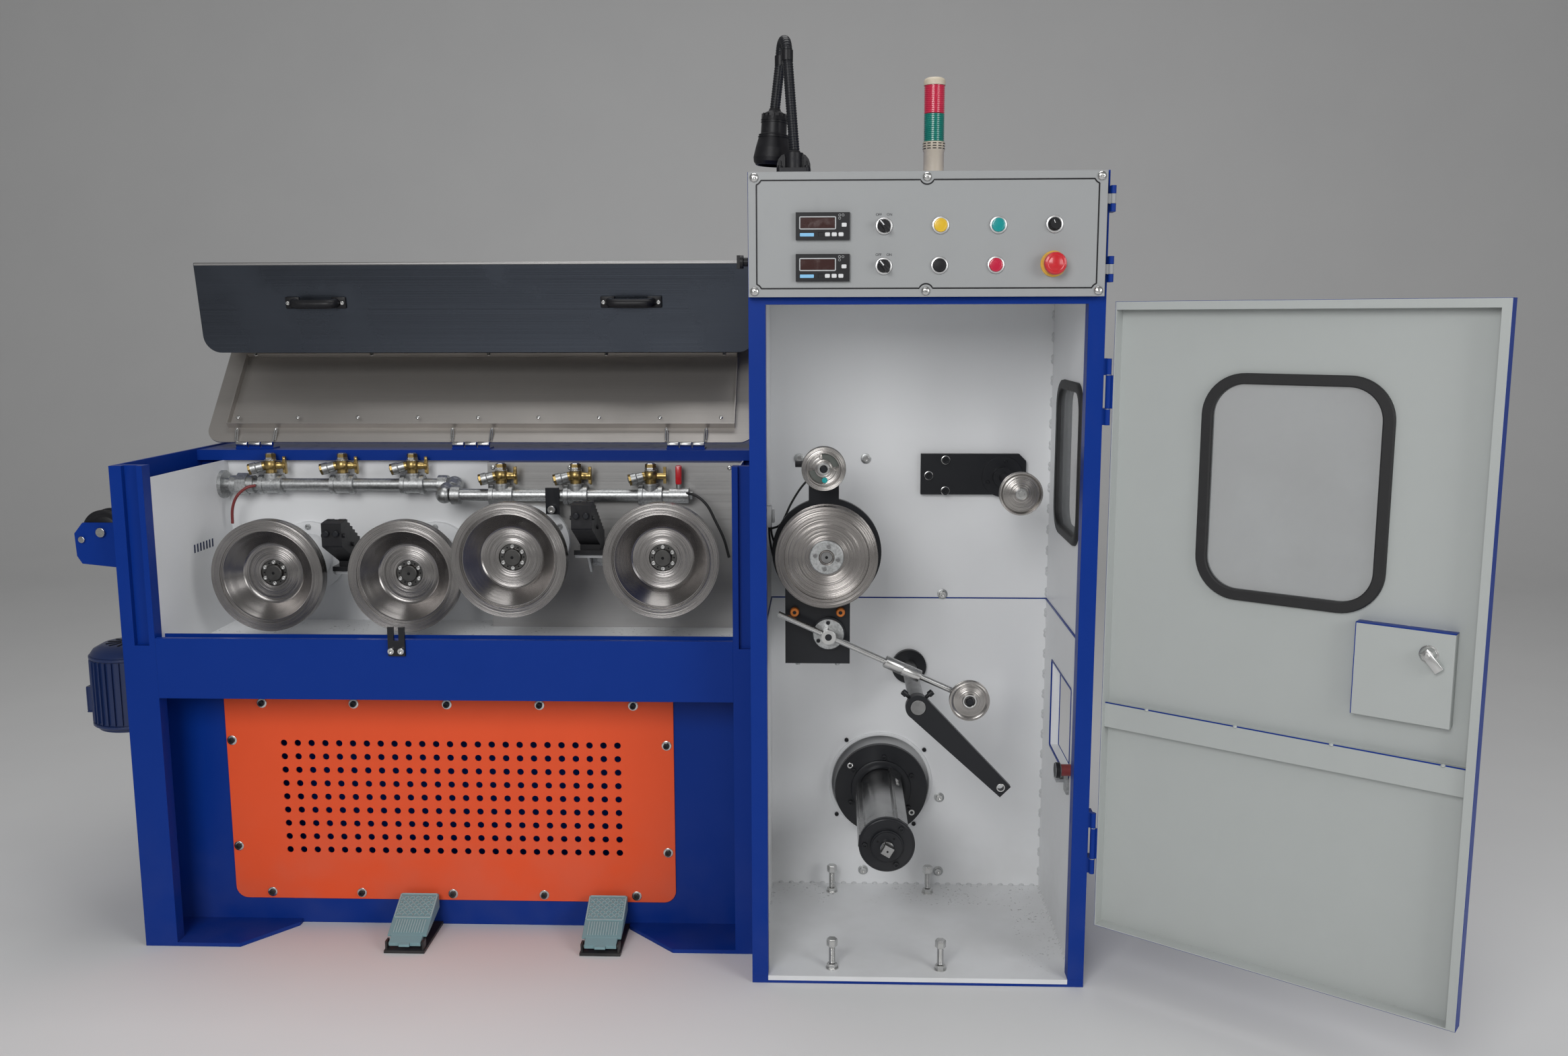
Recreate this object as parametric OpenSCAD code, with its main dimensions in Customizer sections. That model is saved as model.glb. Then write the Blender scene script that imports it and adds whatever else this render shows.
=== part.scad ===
// Fine wire drawing machine: a drawing chamber with four stepped cones beside a take-up cabinet.
// Millimetres. X runs to the right, Y away from the operator, Z up.
// Sizes are worked out from the cabinet's front left corner; place() then puts the origin
// on the floor at the centre of the take-up cabinet's footprint.

/* [Machine] */
// Depth from the cabinet front to the rear covers
machine_d = 900; // [840:10:1100]
// Thickness of the folded sheet steel
sheet = 3; // [2:0.5:4]
// Running clearance between a shaft and its bore, on the radius
run_gap = 0.05; // [0.02:0.01:0.1]
// Gap between a moving piece and its neighbour
move_gap = 5; // [5:1:8]

/* [Take-up cabinet] */
// Width of the cabinet
cab_w = 645; // [620:5:720]
// Height of the cabinet up to the control box
cab_h = 1325; // [1280:5:1400]
// Depth of the open take-up chamber
chamber_d = 443; // [430:1:520]
// Width of the front posts
cab_post = 31; // [28:1:36]
// Thickness of the double-skin side walls
cab_wall = 20; // [16:1:28]
// Thickness of the floor plate
base_t = 15; // [12:1:20]
// Height of the join between the lower and upper wall panels
panel_join_z = 679; // [660:1:700]
// Width of the side window opening
side_win_w = 246; // [200:2:280]
// Height of the side window opening
side_win_h = 288; // [240:2:330]
// Height of the side window's centre
side_win_z = 1008; // [980:2:1040]
// Width of the side hatch opening
hatch_w = 236; // [200:2:270]
// Height of the side hatch opening
hatch_h = 186; // [160:2:220]
// Height of the side hatch's centre
hatch_z = 472; // [450:2:500]

/* [Cabinet door] */
// Opening angle of the door as it stands
door_open = 143.4; // [100:0.1:165]
// Height of the door's lower edge
door_z0 = 132; // [110:1:160]
// Depth of the door's folded pan
door_t = 28; // [22:1:36]
// Width of the door window opening
door_win_w = 292; // [240:2:330]
// Height of the door window opening
door_win_h = 368; // [300:2:400]
// Height of the door window's centre
door_win_z = 997; // [970:1:1010]
// Width of the lock box on the door
lock_w = 152; // [130:1:170]
// Height of the lock box
lock_h = 155; // [130:1:170]
// Height of the lock box's lower edge
lock_z = 636; // [620:1:660]
// Height of the door's stiffener
stiff_z = 550; // [520:1:580]
// Width of the rubber window profiles
gasket = 14; // [10:1:18]

/* [Control box] */
// Height of the control box
box_h = 223; // [210:1:240]
// Depth of the control box
box_d = 260; // [220:5:320]
// Depth of the control panel's folded pan
panel_t = 20; // [16:1:26]
// Diameter of a push button's bezel
button_d = 29.5; // [26:0.5:34]
// Diameter of the stop button's head
stop_d = 40; // [35:1:45]
// Width of a panel meter
meter_w = 96; // [90:1:100]
// Height of a panel meter
meter_h = 48; // [44:1:50]

/* [Drawing body] */
// Length of the drawing body
body_len = 1273; // [1240:1:1400]
// Setback of the body front behind the cabinet front
body_y = 119; // [100:1:140]
// Height of the body
body_h = 1005; // [990:1:1040]
// Lower edge of the front beam
beam_z = 533; // [510:1:550]
// Upper edge of the front beam
sill_z = 657; // [640:1:680]
// Width of the end posts
post_w = 67; // [60:1:80]
// Width of the drain gutter round the chamber mouth
gutter_w = 30; // [24:1:34]
// Width of the gutter's inner lip
lip_w = 12; // [10:1:14]
// Depth of the gutter
gutter_t = 12; // [8:1:16]
// Front of the recessed lower wall
recess_y = 240; // [225:1:260]
// Top of the chamber floor
floor_z = 611; // [600:1:616]
// Front of the chamber's left back wall
back_y = 500; // [490:1:520]
// Front of the stainless bearing plate on the right
plate_y = 440; // [430:1:450]
// Left edge of the stainless bearing plate
plate_x = -602; // [-620:1:-590]

/* [Drawing cones] */
// Diameter of a cone's largest step
cone_d = 236; // [220:1:240]
// Number of steps on a cone
cone_steps = 6; // [4:1:7]
// Fall in radius from one step to the next
step_drop = 11; // [8:1:12]
// Width of one step
step_w = 21; // [18:1:23]
// Diameter of a cone shaft
cone_shaft_d = 50; // [40:1:56]
// Height of the left pair of cones
left_cone_z = 760; // [750:1:775]
// Height of the right pair of cones
right_cone_z = 806; // [795:1:815]
// Front of the left pair of cones
left_cone_y = 250; // [240:1:262]
// Front of the right pair of cones
right_cone_y = 190; // [180:1:200]

/* [Lid] */
// Opening angle of the lid as it stands
lid_open = 91.3; // [80:0.1:100]
// Angle by which the hanging flap leans back when the lid is open
flap_lean = 9; // [0:0.5:12]
// Length of the lid's rear plate
lid_rear = 272; // [262:1:280]
// Length of the lid's front plate
lid_front = 251; // [240:1:262]
// Length of the hanging flap
flap_len = 196; // [170:1:210]
// Distance from the hinge line to the flap's hinge line
lid_chord = 397; // [394:1:402]
// Height of the inner tray
tray_h = 18; // [14:1:24]
// Corner radius of the lid and flap
lid_r = 38; // [25:1:45]

/* [Take-up gear] */
// Diameter of the finishing capstan
capstan_d = 201; // [190:1:210]
// Diameter of the sensing pulley
sensor_d = 86; // [76:1:90]
// Diameter of the dancer pulley
dancer_pulley_d = 80; // [70:1:86]
// Distance from the dancer's pivot to its pulley
dancer_len = 307; // [290:1:312]
// Distance from the dancer's pivot to its free end
dancer_stub = 110; // [90:1:113]
// Slope of the dancer rod as it stands
dancer_angle = -24; // [-25:0.5:-20]
// Diameter of the traverse pulley
traverse_d = 84; // [74:1:90]
// Distance between the spool arm's pivot and its hole
arm_len = 233; // [215:1:240]
// Slope of the spool arm as it stands
arm_angle = -44.5; // [-50:0.5:-30]
// Diameter of the spool arm's shaft
arm_shaft_d = 32; // [26:1:34]
// Diameter of the spindle's barrel
spindle_d = 95; // [85:1:100]
// Diameter of the spindle's flange
flange_d = 204; // [190:1:206]
// Diameter of the hole in the back wall round the spindle
spindle_hole_d = 222; // [216:1:230]
// Diameter of the spindle's front disc
disc_d = 112; // [104:1:116]

/* [Lower front] */
// Length of the perforated cover
cover_w = 952; // [900:1:980]
// Height of the perforated cover
cover_h = 447; // [430:1:460]
// Lower edge of the perforated cover
cover_z = 56; // [45:1:65]
// Number of holes in a row
vent_cols = 25; // [15:1:27]
// Number of rows of holes
vent_rows = 9; // [5:1:10]
// Pitch of the holes
vent_pitch = 29.6; // [28:0.1:31]
// Diameter of the holes
vent_d = 14; // [10:0.5:18]
// Length of a foot pedal
pedal_len = 118; // [100:1:120]

/* [Hidden] */
$fn = 48;
seat = 0.3;
blue = "#1346A4";
white = "#E3E6E8";
black = "#1B1D20";
steel = "#B4B7B9";
silver = "#A9ABAC";
orange = "#E2512F";
brass = "#B08D42";
zinc = "#9A9C9B";
aqua = "#7FA9AE";

// Take-up cabinet
inner_l = cab_wall;
inner_r = cab_w - cab_wall;
box_z = cab_h;
box_top = box_z + box_h;
panel_top = box_top - 2;
panel_w = cab_w - 4;
panel_face_y = -2 - panel_t;
panel_hinge = [cab_w + 5, -6];
panel_hinge_zs = [box_z + 50, box_top - 50];
door_w = cab_w - 5;
door_z1 = cab_h - 7;
door_h = door_z1 - door_z0;
door_hinge = [cab_w + 8, -3];
door_back = move_gap;
door_return = 15;
door_hinge_zs = [door_z0 + 164, door_z1 - 162];
win_y = chamber_d / 2 - 11;
hatch_y = 230;
join_d = 3;

// Drawing body
left_x = -body_len;
right_post_w = gutter_w + lip_w;
inner_left_x = left_x + post_w;
inner_right_x = -right_post_w;
end_t = 6;
gutter_y = body_y + gutter_t;
lip_z = sill_z - gutter_t;
beam_t = lip_w + gutter_w + sheet;
foot_t = 8;
rail_d = 60;
rail_h = 26;
rail_y = back_y - 20;
hinge_y = back_y + 5;
hinge_z = body_h + 8;
knuckle_d = 10;
flap_barrel_d = 8;
tray_gap = 26;
lid_x0 = left_x + 13;
lid_x1 = -18;
lid_w = lid_x1 - lid_x0;
hinge_xs = [-1145, -654, -172];
hinge_len = 86;

// Lid: the angle at the hinge between the chord and the rear plate, from the three lengths
lid_rise = acos((pow(lid_rear, 2) + pow(lid_chord, 2) - pow(lid_front, 2)) / (2 * lid_rear * lid_chord));
lid_drop = acos((pow(lid_front, 2) + pow(lid_chord, 2) - pow(lid_rear, 2)) / (2 * lid_front * lid_chord));
fold_y = lid_rear * cos(lid_rise);
fold_z = lid_rear * sin(lid_rise);
flap_y = hinge_y - lid_chord * cos(lid_open);
flap_z = hinge_z + lid_chord * sin(lid_open);

// Cones: x, front y, z, y of the wall that carries them
cones = [[-1026, left_cone_y, left_cone_z, back_y], [-737, left_cone_y, left_cone_z, back_y],
  [-502, right_cone_y, right_cone_z, plate_y], [-192, right_cone_y, right_cone_z, plate_y]];
cone_r = cone_d / 2;
dish_r = 58;
dish_depth = 38;
rim_w = 18;
hub_r = 28;
cone_depth = 26 + step_w * (cone_steps - 1);
bearing_d = 158;
bearing_t = 14;
boss_d = 104;
shaft_in = 60;
die_w = 42;
die_steps = 9;
die_pitch = 13.8;
die_drop = 9.3;

// Manifold
left_pipe = [465, 927];
right_pipe = [410, 911];
pipe_d = 27;
left_tees = [-1094, -933, -776];
right_tees = [-565, -402, -239];
elbow_x = -683;
valve_x = -186;

// Take-up gear
capstan = [143, 828];
capstan_y = 110;
capstan_t = 45;
bracket_y = 175;
bracket_t = 15;
sensor = [137, 1002];
sensor_t = 20;
dancer = [147, 663];
dancer_y = 148;
dancer_rod_d = 12;
traverse = [521, 951];
traverse_y = 135;
arm_pivot = [325, 527];
arm_y = 112;
arm_t = 15;
spindle_at = [264, 257];
spindle_front = 62;
flange_y = 395;
bar_angles = [55, 175, 295];
bar_r = 56;
bar_w = 30;
pulley_pin_d = 12;

// Lower front
cover_x = -1129;
cover_t = 3;
vent_x = -1006;
vent_z = 403;
pedals = [-724, -319];
pedal_y = 104;
pedal_pivot = [pedal_y + 8, 16];
pedal_rise = 24;

// Wire ways through the end walls
wire_ways = 7;
wire_pitch = 14;
wire_y = 311;
wire_z = 806;
wire_out = [186, 862];

// Left side
roller = [left_x - 51, 865];
roller_d = 88;
roller_y = 176;
roller_t = 34;
motor = [left_x - 80, 290];
motor_d = 150;

module place() translate([-cab_w / 2, -machine_d / 2, 0]) children();

// Box from its low corner to its high corner
module span(a, b) translate(a) cube(b - a);

// Cylinder along Y between two depths, at x and z
module ycyl(d, y0, y1, at) translate([at[0], y1, at[1]]) rotate([90, 0, 0]) cylinder(d = d, h = y1 - y0);

// Cylinder along X between two places, at y and z
module xcyl(d, x0, x1, at) translate([x0, at[0], at[1]]) rotate([0, 90, 0]) cylinder(d = d, h = x1 - x0);

// Revolved profile of [radius, depth] points whose depth runs along Y from y0
module turned(at, y0, pts) translate([at[0], y0, at[1]]) rotate([-90, 0, 0])
  rotate_extrude($fn = 96) polygon(pts);

// Rectangle with true round corners, centred
module rrect(w, h, r) {
  square([w, h - 2 * r], center = true);
  square([w - 2 * r, h], center = true);
  for (sx = [-1, 1], sy = [-1, 1]) translate([sx * (w / 2 - r), sy * (h / 2 - r)]) circle(r);
}

// Profile in Y and Z pulled along X
module along_x(x0, x1) translate([x0, 0, 0]) rotate([90, 0, 90]) linear_extrude(x1 - x0) children();

// Outline in X and Z pulled along Y
module along_y(y0, y1) translate([0, y1, 0]) rotate([90, 0, 0]) linear_extrude(y1 - y0) children();

module cab_base() color(white) place() span([0, 0, 0], [cab_w, machine_d, base_t]);

// Front posts and header of the cabinet mouth
module cab_posts() color(blue) place() {
  for (x = [0, cab_w - cab_post]) span([x, 0, base_t], [x + cab_post, cab_post, cab_h - sheet]);
  span([cab_post, 0, cab_h - sheet - 8], [cab_w - cab_post, cab_post, cab_h - sheet]);
  for (z = door_hinge_zs, s = [-1, 1]) translate([door_hinge[0], door_hinge[1], z + s * 45 - 15 + s * seat]) {
    cylinder(d = 10, h = 30);
    span([cab_w - door_hinge[0], -door_hinge[1], 0], [0, -door_hinge[1] + 24, 30]);
    span([-3, 0, 0], [3, -door_hinge[1] + 3, 30]);
  }
}

module cab_left_wall() color(white) place() difference() {
  span([0, cab_post, base_t], [cab_wall, machine_d - sheet, cab_h - sheet]);
  wire_passage();
}

module cab_right_wall() color(white) place() difference() {
  span([inner_r, cab_post, base_t], [cab_w, machine_d - sheet, cab_h - sheet]);
  translate([inner_r - 1, win_y, side_win_z]) rotate([90, 0, 90])
    linear_extrude(cab_wall + 2) rrect(side_win_w, side_win_h, 45);
  span([inner_r - 1, hatch_y - hatch_w / 2, hatch_z - hatch_h / 2],
    [cab_w + 1, hatch_y + hatch_w / 2, hatch_z + hatch_h / 2]);
}

// Back panel of the take-up chamber with the spindle hole and the joint line
module cab_back_wall() color(white) place() difference() {
  span([inner_l, chamber_d, base_t], [inner_r, chamber_d + 2 * sheet, cab_h - sheet]);
  ycyl(spindle_hole_d, chamber_d - 1, chamber_d + 2 * sheet + 1, spindle_at);
  span([inner_l - 1, chamber_d - 1, panel_join_z], [inner_r + 1, chamber_d + 2, panel_join_z + join_d]);
}

module cab_roof() color(white) place() span([0, 0, cab_h - sheet], [cab_w, machine_d, cab_h]);

// Closed drive compartment behind the take-up chamber, with the spindle's bearing bore
module rear_housing() color(blue) place() difference() {
  span([inner_l, chamber_d + 2 * sheet, base_t], [inner_r, machine_d - sheet, cab_h - sheet]);
  ycyl(spindle_hole_d, chamber_d, chamber_d + 50, spindle_at);
  ycyl(60 + 2 * run_gap, chamber_d, chamber_d + 150, spindle_at);
}

// Levelling bolts that stand on the chamber floor
module anchor_bolts() color(zinc) place() for (x = [156, 370], y = [36, 398]) translate([x, y, base_t]) {
  cylinder(d = 24, h = 12, $fn = 6);
  cylinder(d = 14, h = 62);
  translate([0, 0, 50]) cylinder(d = 24, h = 13, $fn = 6);
}

// Side window: rubber profile and pane
module side_window() color(black) place() translate([0, win_y, side_win_z]) rotate([90, 0, 90]) {
  translate([0, 0, inner_r - 6]) linear_extrude(6) difference() {
    rrect(side_win_w + 2 * gasket, side_win_h + 2 * gasket, 59);
    rrect(side_win_w - 8, side_win_h - 8, 41);
  }
  translate([0, 0, inner_r]) linear_extrude(5) rrect(side_win_w - 1, side_win_h - 1, 44.5);
}

// Latch and stop button beside the side hatch
module side_latch() color(zinc) place() {
  edge_y = hatch_y - hatch_w / 2;
  span([inner_r - 26, edge_y - 10, hatch_z - 92], [inner_r, edge_y + 22, hatch_z - 86]);
  span([inner_r - 6, edge_y - 10, hatch_z - 118], [inner_r, edge_y + 22, hatch_z - 92]);
  translate([inner_r - 14, edge_y + 6, hatch_z - 86]) cylinder(d = 10, h = 14);
  xcyl(22, inner_r - 22, inner_r, [edge_y - 24, hatch_z - 62]);
  xcyl(30, inner_r - 32, inner_r - 22, [edge_y - 24, hatch_z - 62]);
}

// Control box shell, open at the front
module control_box() color(blue) place() {
  difference() {
    span([0, 0, box_z], [cab_w, box_d, box_top]);
    span([sheet, -1, box_z + sheet], [cab_w - sheet, box_d - sheet, box_top - sheet]);
  }
  for (z = panel_hinge_zs, s = [-1, 1]) translate([panel_hinge[0], panel_hinge[1], z + s * (16 - seat / 2) - 7]) {
    cylinder(d = 10, h = 14);
    span([-5, -panel_hinge[1] - 1, 0], [5, -panel_hinge[1] + 24, 14]);
    span([-3, 0, 0], [3, -panel_hinge[1], 14]);
  }
}

// Key lock on the left side of the control box
module box_lock() color(black) place() {
  xcyl(16, -10, 0, [26, box_z + 66]);
  xcyl(24, -16, -10, [26, box_z + 66]);
  span([-22, 22, box_z + 54], [-16, 30, box_z + 78]);
}

// Hinged control panel: folded pan with its face plate
module control_panel() color(silver) place() {
  difference() {
    span([2, panel_face_y, box_z + 2], [2 + panel_w - 6, -2, panel_top]);
    span([2 + sheet, panel_face_y + sheet, box_z + 2 + sheet], [panel_w - 4 - sheet, -1, panel_top - sheet]);
  }
  for (z = panel_hinge_zs) translate([0, 0, z - 8.5]) {
    translate([panel_hinge[0], panel_hinge[1], 0]) cylinder(d = 10, h = 17);
    span([panel_w - 7, -8, 0], [panel_hinge[0], -4, 17]);
  }
}

// Two counters with their display windows and keys
module panel_meters() color(black) place() for (z = [95, 167.5]) translate([135, panel_face_y, panel_top - z]) {
  difference() {
    span([-meter_w / 2, -8, -meter_h / 2], [meter_w / 2, 0, meter_h / 2]);
    span([-40, -9, -4], [22, -6, 15]);
    for (i = [0:3]) span([-8 + 12 * i, -9, -18], [1 + 12 * i, -7, -11]);
  }
}

// Two selectors, four lit push buttons and the speed knob
module panel_controls() color(black) place() {
  for (z = [95, 165]) translate([244, panel_face_y, panel_top - z]) {
    ycyl(button_d, -6, 0, [0, 0]);
    ycyl(21, -10, -6, [0, 0]);
    rotate([0, 40, 0]) span([-4, -22, -14], [4, -10, 14]);
  }
  for (b = [[344, 94], [343, 164], [446, 94], [443, 163.5]])
    translate([b[0], panel_face_y, panel_top - b[1]]) {
      ycyl(button_d, -5, 0, [0, 0]);
      ycyl(22, -12, -5, [0, 0]);
    }
  translate([545, panel_face_y, panel_top - 93]) {
    ycyl(button_d, -4, 0, [0, 0]);
    ycyl(20, -20, -4, [0, 0]);
  }
}

module panel_stop() color("#C9242B") place() translate([545, panel_face_y, panel_top - 162]) {
  ycyl(stop_d + 6, -4, 0, [0, 0]);
  ycyl(24, -16, -4, [0, 0]);
  turned([0, 0], -30, [[0, 0], [stop_d / 2 - 5, 0], [stop_d / 2, 5], [stop_d / 2, 10], [stop_d / 2 - 6, 14], [0, 14]]);
}

// Signal tower: stem, two lenses and cap
tower = [339, 100];
tower_d = 40;
stem_h = 62;
lens_h = 50;
module tower_stem() color("#D8CDB6") place() translate([tower[0], tower[1], box_top]) {
  cylinder(d = tower_d, h = stem_h);
  translate([0, 0, stem_h + 2 * lens_h + 2 * seat]) cylinder(d = tower_d, h = 9);
  translate([0, 0, stem_h + 2 * lens_h + 2 * seat + 9]) cylinder(d1 = tower_d, d2 = tower_d - 10, h = 6);
}
module tower_green() color("#1F8C7C") place()
  translate([tower[0], tower[1], box_top + stem_h]) cylinder(d = tower_d - 1, h = lens_h);
module tower_red() color("#C2354F") place()
  translate([tower[0], tower[1], box_top + stem_h + lens_h + seat]) cylinder(d = tower_d - 1, h = lens_h);

// Gooseneck lamp
lamp = [80, 100];
neck_d = 18;
lamp_base_h = 44;
neck = [[82, 100, box_top + lamp_base_h - 4], [68, 104, 1770], [54, 158, 1770], [43, 160, 1680]];
head_tilt = 3;
module rod(a, b, d) {
  l = norm(b - a);
  translate(a) rotate([0, acos((b[2] - a[2]) / l), atan2(b[1] - a[1], b[0] - a[0])]) rotate(90) cylinder(d = d, h = l);
}
module lamp_base() translate([lamp[0], lamp[1], box_top]) {
  linear_extrude(16) rrect(63, 44, 8);
  cylinder(d = 36, h = lamp_base_h);
  along_y(-7, 7) polygon([[-31, 1], [-31, 24], [-28, 33], [-22, 40], [-14, lamp_base_h - 1], [14, lamp_base_h - 1],
    [22, 40], [28, 33], [31, 24], [31, 1]]);
}
head_pts = [[0, 1], [10, 1], [12, -4], [19, -8], [23, -14], [24, -20], [24.5, -46], [27.5, -48], [28, -52],
  [33, -72], [36.5, -90], [35.5, -98], [31, -104], [28, -104], [31, -92], [27, -62], [20, -54], [0, -54]];
module gooseneck_lamp() color(black) place() {
  lamp_base();
  rod(neck[0], neck[1], neck_d);
  rod(neck[3], neck[2], neck_d);
  for (i = [1, 2]) translate(neck[i] - [0, 0, 12]) cylinder(d = neck_d + 4, h = 18);
  translate((neck[1] + neck[2]) / 2) rotate([90, 0, atan2(neck[2][1] - neck[1][1], neck[2][0] - neck[1][0])])
    rotate_extrude(angle = 180) translate([norm(neck[2] - neck[1]) / 2, 0]) circle(d = neck_d);
  translate(neck[3]) rotate([0, head_tilt, 0]) rotate_extrude($fn = 64) polygon(head_pts);
}

// Cabinet door, drawn closed and then swung open
module at_door() place() translate([door_hinge[0], door_hinge[1], 0]) rotate([0, 0, door_open])
  translate([-door_hinge[0], -door_hinge[1], 0]) children();
door_x0 = 5;
door_cx = door_x0 + door_w / 2;
module cab_door() color(white) at_door() {
  difference() {
    span([door_x0, -door_back - door_t, door_z0], [door_x0 + door_w, -door_back, door_z1]);
    span([door_x0 + sheet, -door_back - door_t + sheet, door_z0 + sheet],
      [door_x0 + door_w - sheet, -door_back + 1, door_z1 - sheet]);
    along_y(-door_back - door_t - 1, 0) translate([door_cx, door_win_z]) rrect(door_win_w, door_win_h, 60);
  }
  span([door_x0 + sheet, -door_back - door_t + sheet, stiff_z - 23],
    [door_x0 + door_w - sheet, -door_back - door_t + sheet + 16, stiff_z + 23]);
  span([door_x0, -door_back - sheet, door_z0], [door_x0 + door_return, -door_back, door_z1]);
  span([door_x0, -door_back - sheet, door_z1 - door_return], [door_x0 + door_w, -door_back, door_z1]);
  for (z = door_hinge_zs) {
    translate([door_hinge[0], door_hinge[1], z - 30]) cylinder(d = 10, h = 60);
    span([door_x0 + door_w - sheet, -door_back - 4, z - 30], [door_hinge[0], -door_back, z + 30]);
  }
}
module door_window() color(black) at_door() translate([door_cx, 0, door_win_z]) {
  along_y(-door_back - door_t + sheet, -door_back - door_t + sheet + 8) difference() {
    rrect(door_win_w + 2 * gasket, door_win_h + 2 * gasket, 74);
    rrect(door_win_w - 8, door_win_h - 8, 56);
  }
  along_y(-door_back - door_t, -door_back - door_t + sheet) rrect(door_win_w - 1, door_win_h - 1, 59.5);
}
module door_lock() color(white) at_door() {
  lx = door_x0 + 44;
  span([lx, -door_back - door_t + sheet, lock_z], [lx + lock_w, -door_back - 4, lock_z + lock_h]);
  ycyl(24, -door_back - 4, -door_back + 3, [lx + 38, lock_z + 118]);
  translate([lx + 38, -door_back - 1, lock_z + 118]) rotate([0, 40, 0]) span([-7, 0, -30], [7, 3, 8]);
  ycyl(26, -door_back - door_t - 12, -door_back - door_t, [lx + 38, lock_z + 118]);
}

// Left end of the body: side plate, post with its gutter, chamfered foot
module wire_slots() for (i = [0:wire_ways - 1])
  span([left_x - 1, wire_y + wire_pitch * i, wire_z - 8], [inner_left_x + 1, wire_y + 6 + wire_pitch * i, wire_z + 8]);
module wire_passage() span([inner_right_x - sheet - 1, wire_out[0] - 14, wire_out[1] - 30],
  [cab_wall + 1, wire_out[0] + 14, wire_out[1] + 30]);
module body_left_end() color(blue) place() {
  difference() {
    span([left_x, body_y, 0], [left_x + end_t, machine_d, body_h]);
    wire_slots();
  }
  difference() {
    span([left_x + end_t, body_y, 0], [inner_left_x, body_y + 30, body_h]);
    span([left_x + 25, body_y - 1, lip_z - sheet], [left_x + 25 + gutter_w, gutter_y, body_h + 1]);
  }
  linear_extrude(foot_t) polygon([[left_x + end_t, body_y + 30], [inner_left_x, body_y + 30], [inner_left_x, body_y],
    [left_x + 199, body_y], [left_x + 285, recess_y - 18], [left_x + 285, recess_y], [left_x + end_t, recess_y]]);
}

// Right end of the body against the cabinet
module body_right_end() color(blue) place() {
  difference() {
    span([-end_t, body_y, 0], [0, machine_d, body_h]);
    wire_passage();
  }
  difference() {
    span([-right_post_w, body_y, 0], [-end_t, body_y + 30, body_h]);
    span([-gutter_w, body_y - 1, lip_z - sheet], [-end_t + 1, gutter_y, body_h + 1]);
  }
  linear_extrude(foot_t) polygon([[-end_t, body_y + 30], [-right_post_w, body_y + 30], [-right_post_w, body_y],
    [-171, body_y], [-276, recess_y - 15], [-276, recess_y], [-end_t, recess_y]]);
}

// Front beam with the drain gutter along its top
module front_beam() color(blue) place() along_x(inner_left_x, inner_right_x) polygon([
  [body_y, beam_z], [recess_y, beam_z], [recess_y, floor_z - 2 * sheet], [body_y + beam_t, floor_z - 2 * sheet],
  [body_y + beam_t, sill_z], [body_y + beam_t - sheet, sill_z], [body_y + beam_t - sheet, lip_z],
  [body_y + lip_w, lip_z], [body_y + lip_w, sill_z], [body_y, sill_z]]);

// Closed drive compartment behind and below the chamber, with the cooling opening and shaft bores
module drive_housing() color(blue) place() difference() {
  along_x(left_x + end_t, -end_t) polygon([
    [recess_y, 0], [machine_d - sheet, 0], [machine_d - sheet, body_h - rail_h], [back_y + sheet, body_h - rail_h],
    [back_y + sheet, floor_z - 2 * sheet], [recess_y, floor_z - 2 * sheet]]);
  span([vent_x - 20, recess_y - 1, vent_z - vent_pitch * (vent_rows - 1) - 20],
    [vent_x + vent_pitch * (vent_cols - 1) + 20, recess_y + 120, vent_z + 20]);
  for (c = cones) ycyl(cone_shaft_d + 2 * run_gap, back_y, back_y + shaft_in + 2, [c[0], c[2]]);
}

// Stainless plate on its box, which carries the right pair of cones
module bearing_plate() color(steel) place() difference() {
  span([plate_x, plate_y, floor_z], [inner_right_x - sheet, back_y + sheet, body_h - rail_h]);
  for (c = [cones[2], cones[3]]) ycyl(cone_shaft_d + 2 * run_gap, plate_y - 1, back_y + 4, [c[0], c[2]]);
}

// White chamber lining: floor, end walls and the left back wall
module chamber_lining() color(white) place() difference() {
  union() {
    span([inner_left_x - sheet, body_y + beam_t, floor_z - 2 * sheet], [inner_right_x, back_y + sheet, floor_z]);
    span([inner_left_x - sheet, body_y + 30, floor_z], [inner_left_x, back_y + sheet, body_h - rail_h]);
    span([inner_right_x - sheet, body_y + beam_t, floor_z], [inner_right_x, back_y + sheet, body_h - rail_h]);
    span([inner_left_x, back_y, floor_z], [plate_x, back_y + sheet, body_h - rail_h]);
  }
  for (c = [cones[0], cones[1]]) ycyl(cone_shaft_d + 2 * run_gap, back_y - 1, back_y + 4, [c[0], c[2]]);
  wire_slots();
  wire_passage();
}

// Rail that carries the lid hinges, with the fixed hinge leaves
module top_cover() color(blue) place() {
  span([left_x + end_t, rail_y, body_h - rail_h], [-end_t, machine_d - sheet, body_h - sheet]);
  for (x = hinge_xs) {
    span([x - hinge_len / 2, hinge_y - 2, body_h - sheet], [x + hinge_len / 2, hinge_y + 34, body_h]);
    for (s = [-1, 0, 1]) translate([x + s * hinge_len / 3 - 13, 0, 0]) {
      xcyl(knuckle_d, 0, 26, [hinge_y, hinge_z]);
      span([0, hinge_y - 2, body_h], [26, hinge_y + 2, hinge_z]);
    }
  }
}

// Forked catch for the lid on the front beam
module latch_fork() color(black) place() translate([-714, body_y, 0]) difference() {
  span([-17, -6, 625], [17, 0, 684]);
  span([-5, -7, 656], [5, 1, 685]);
}

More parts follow.
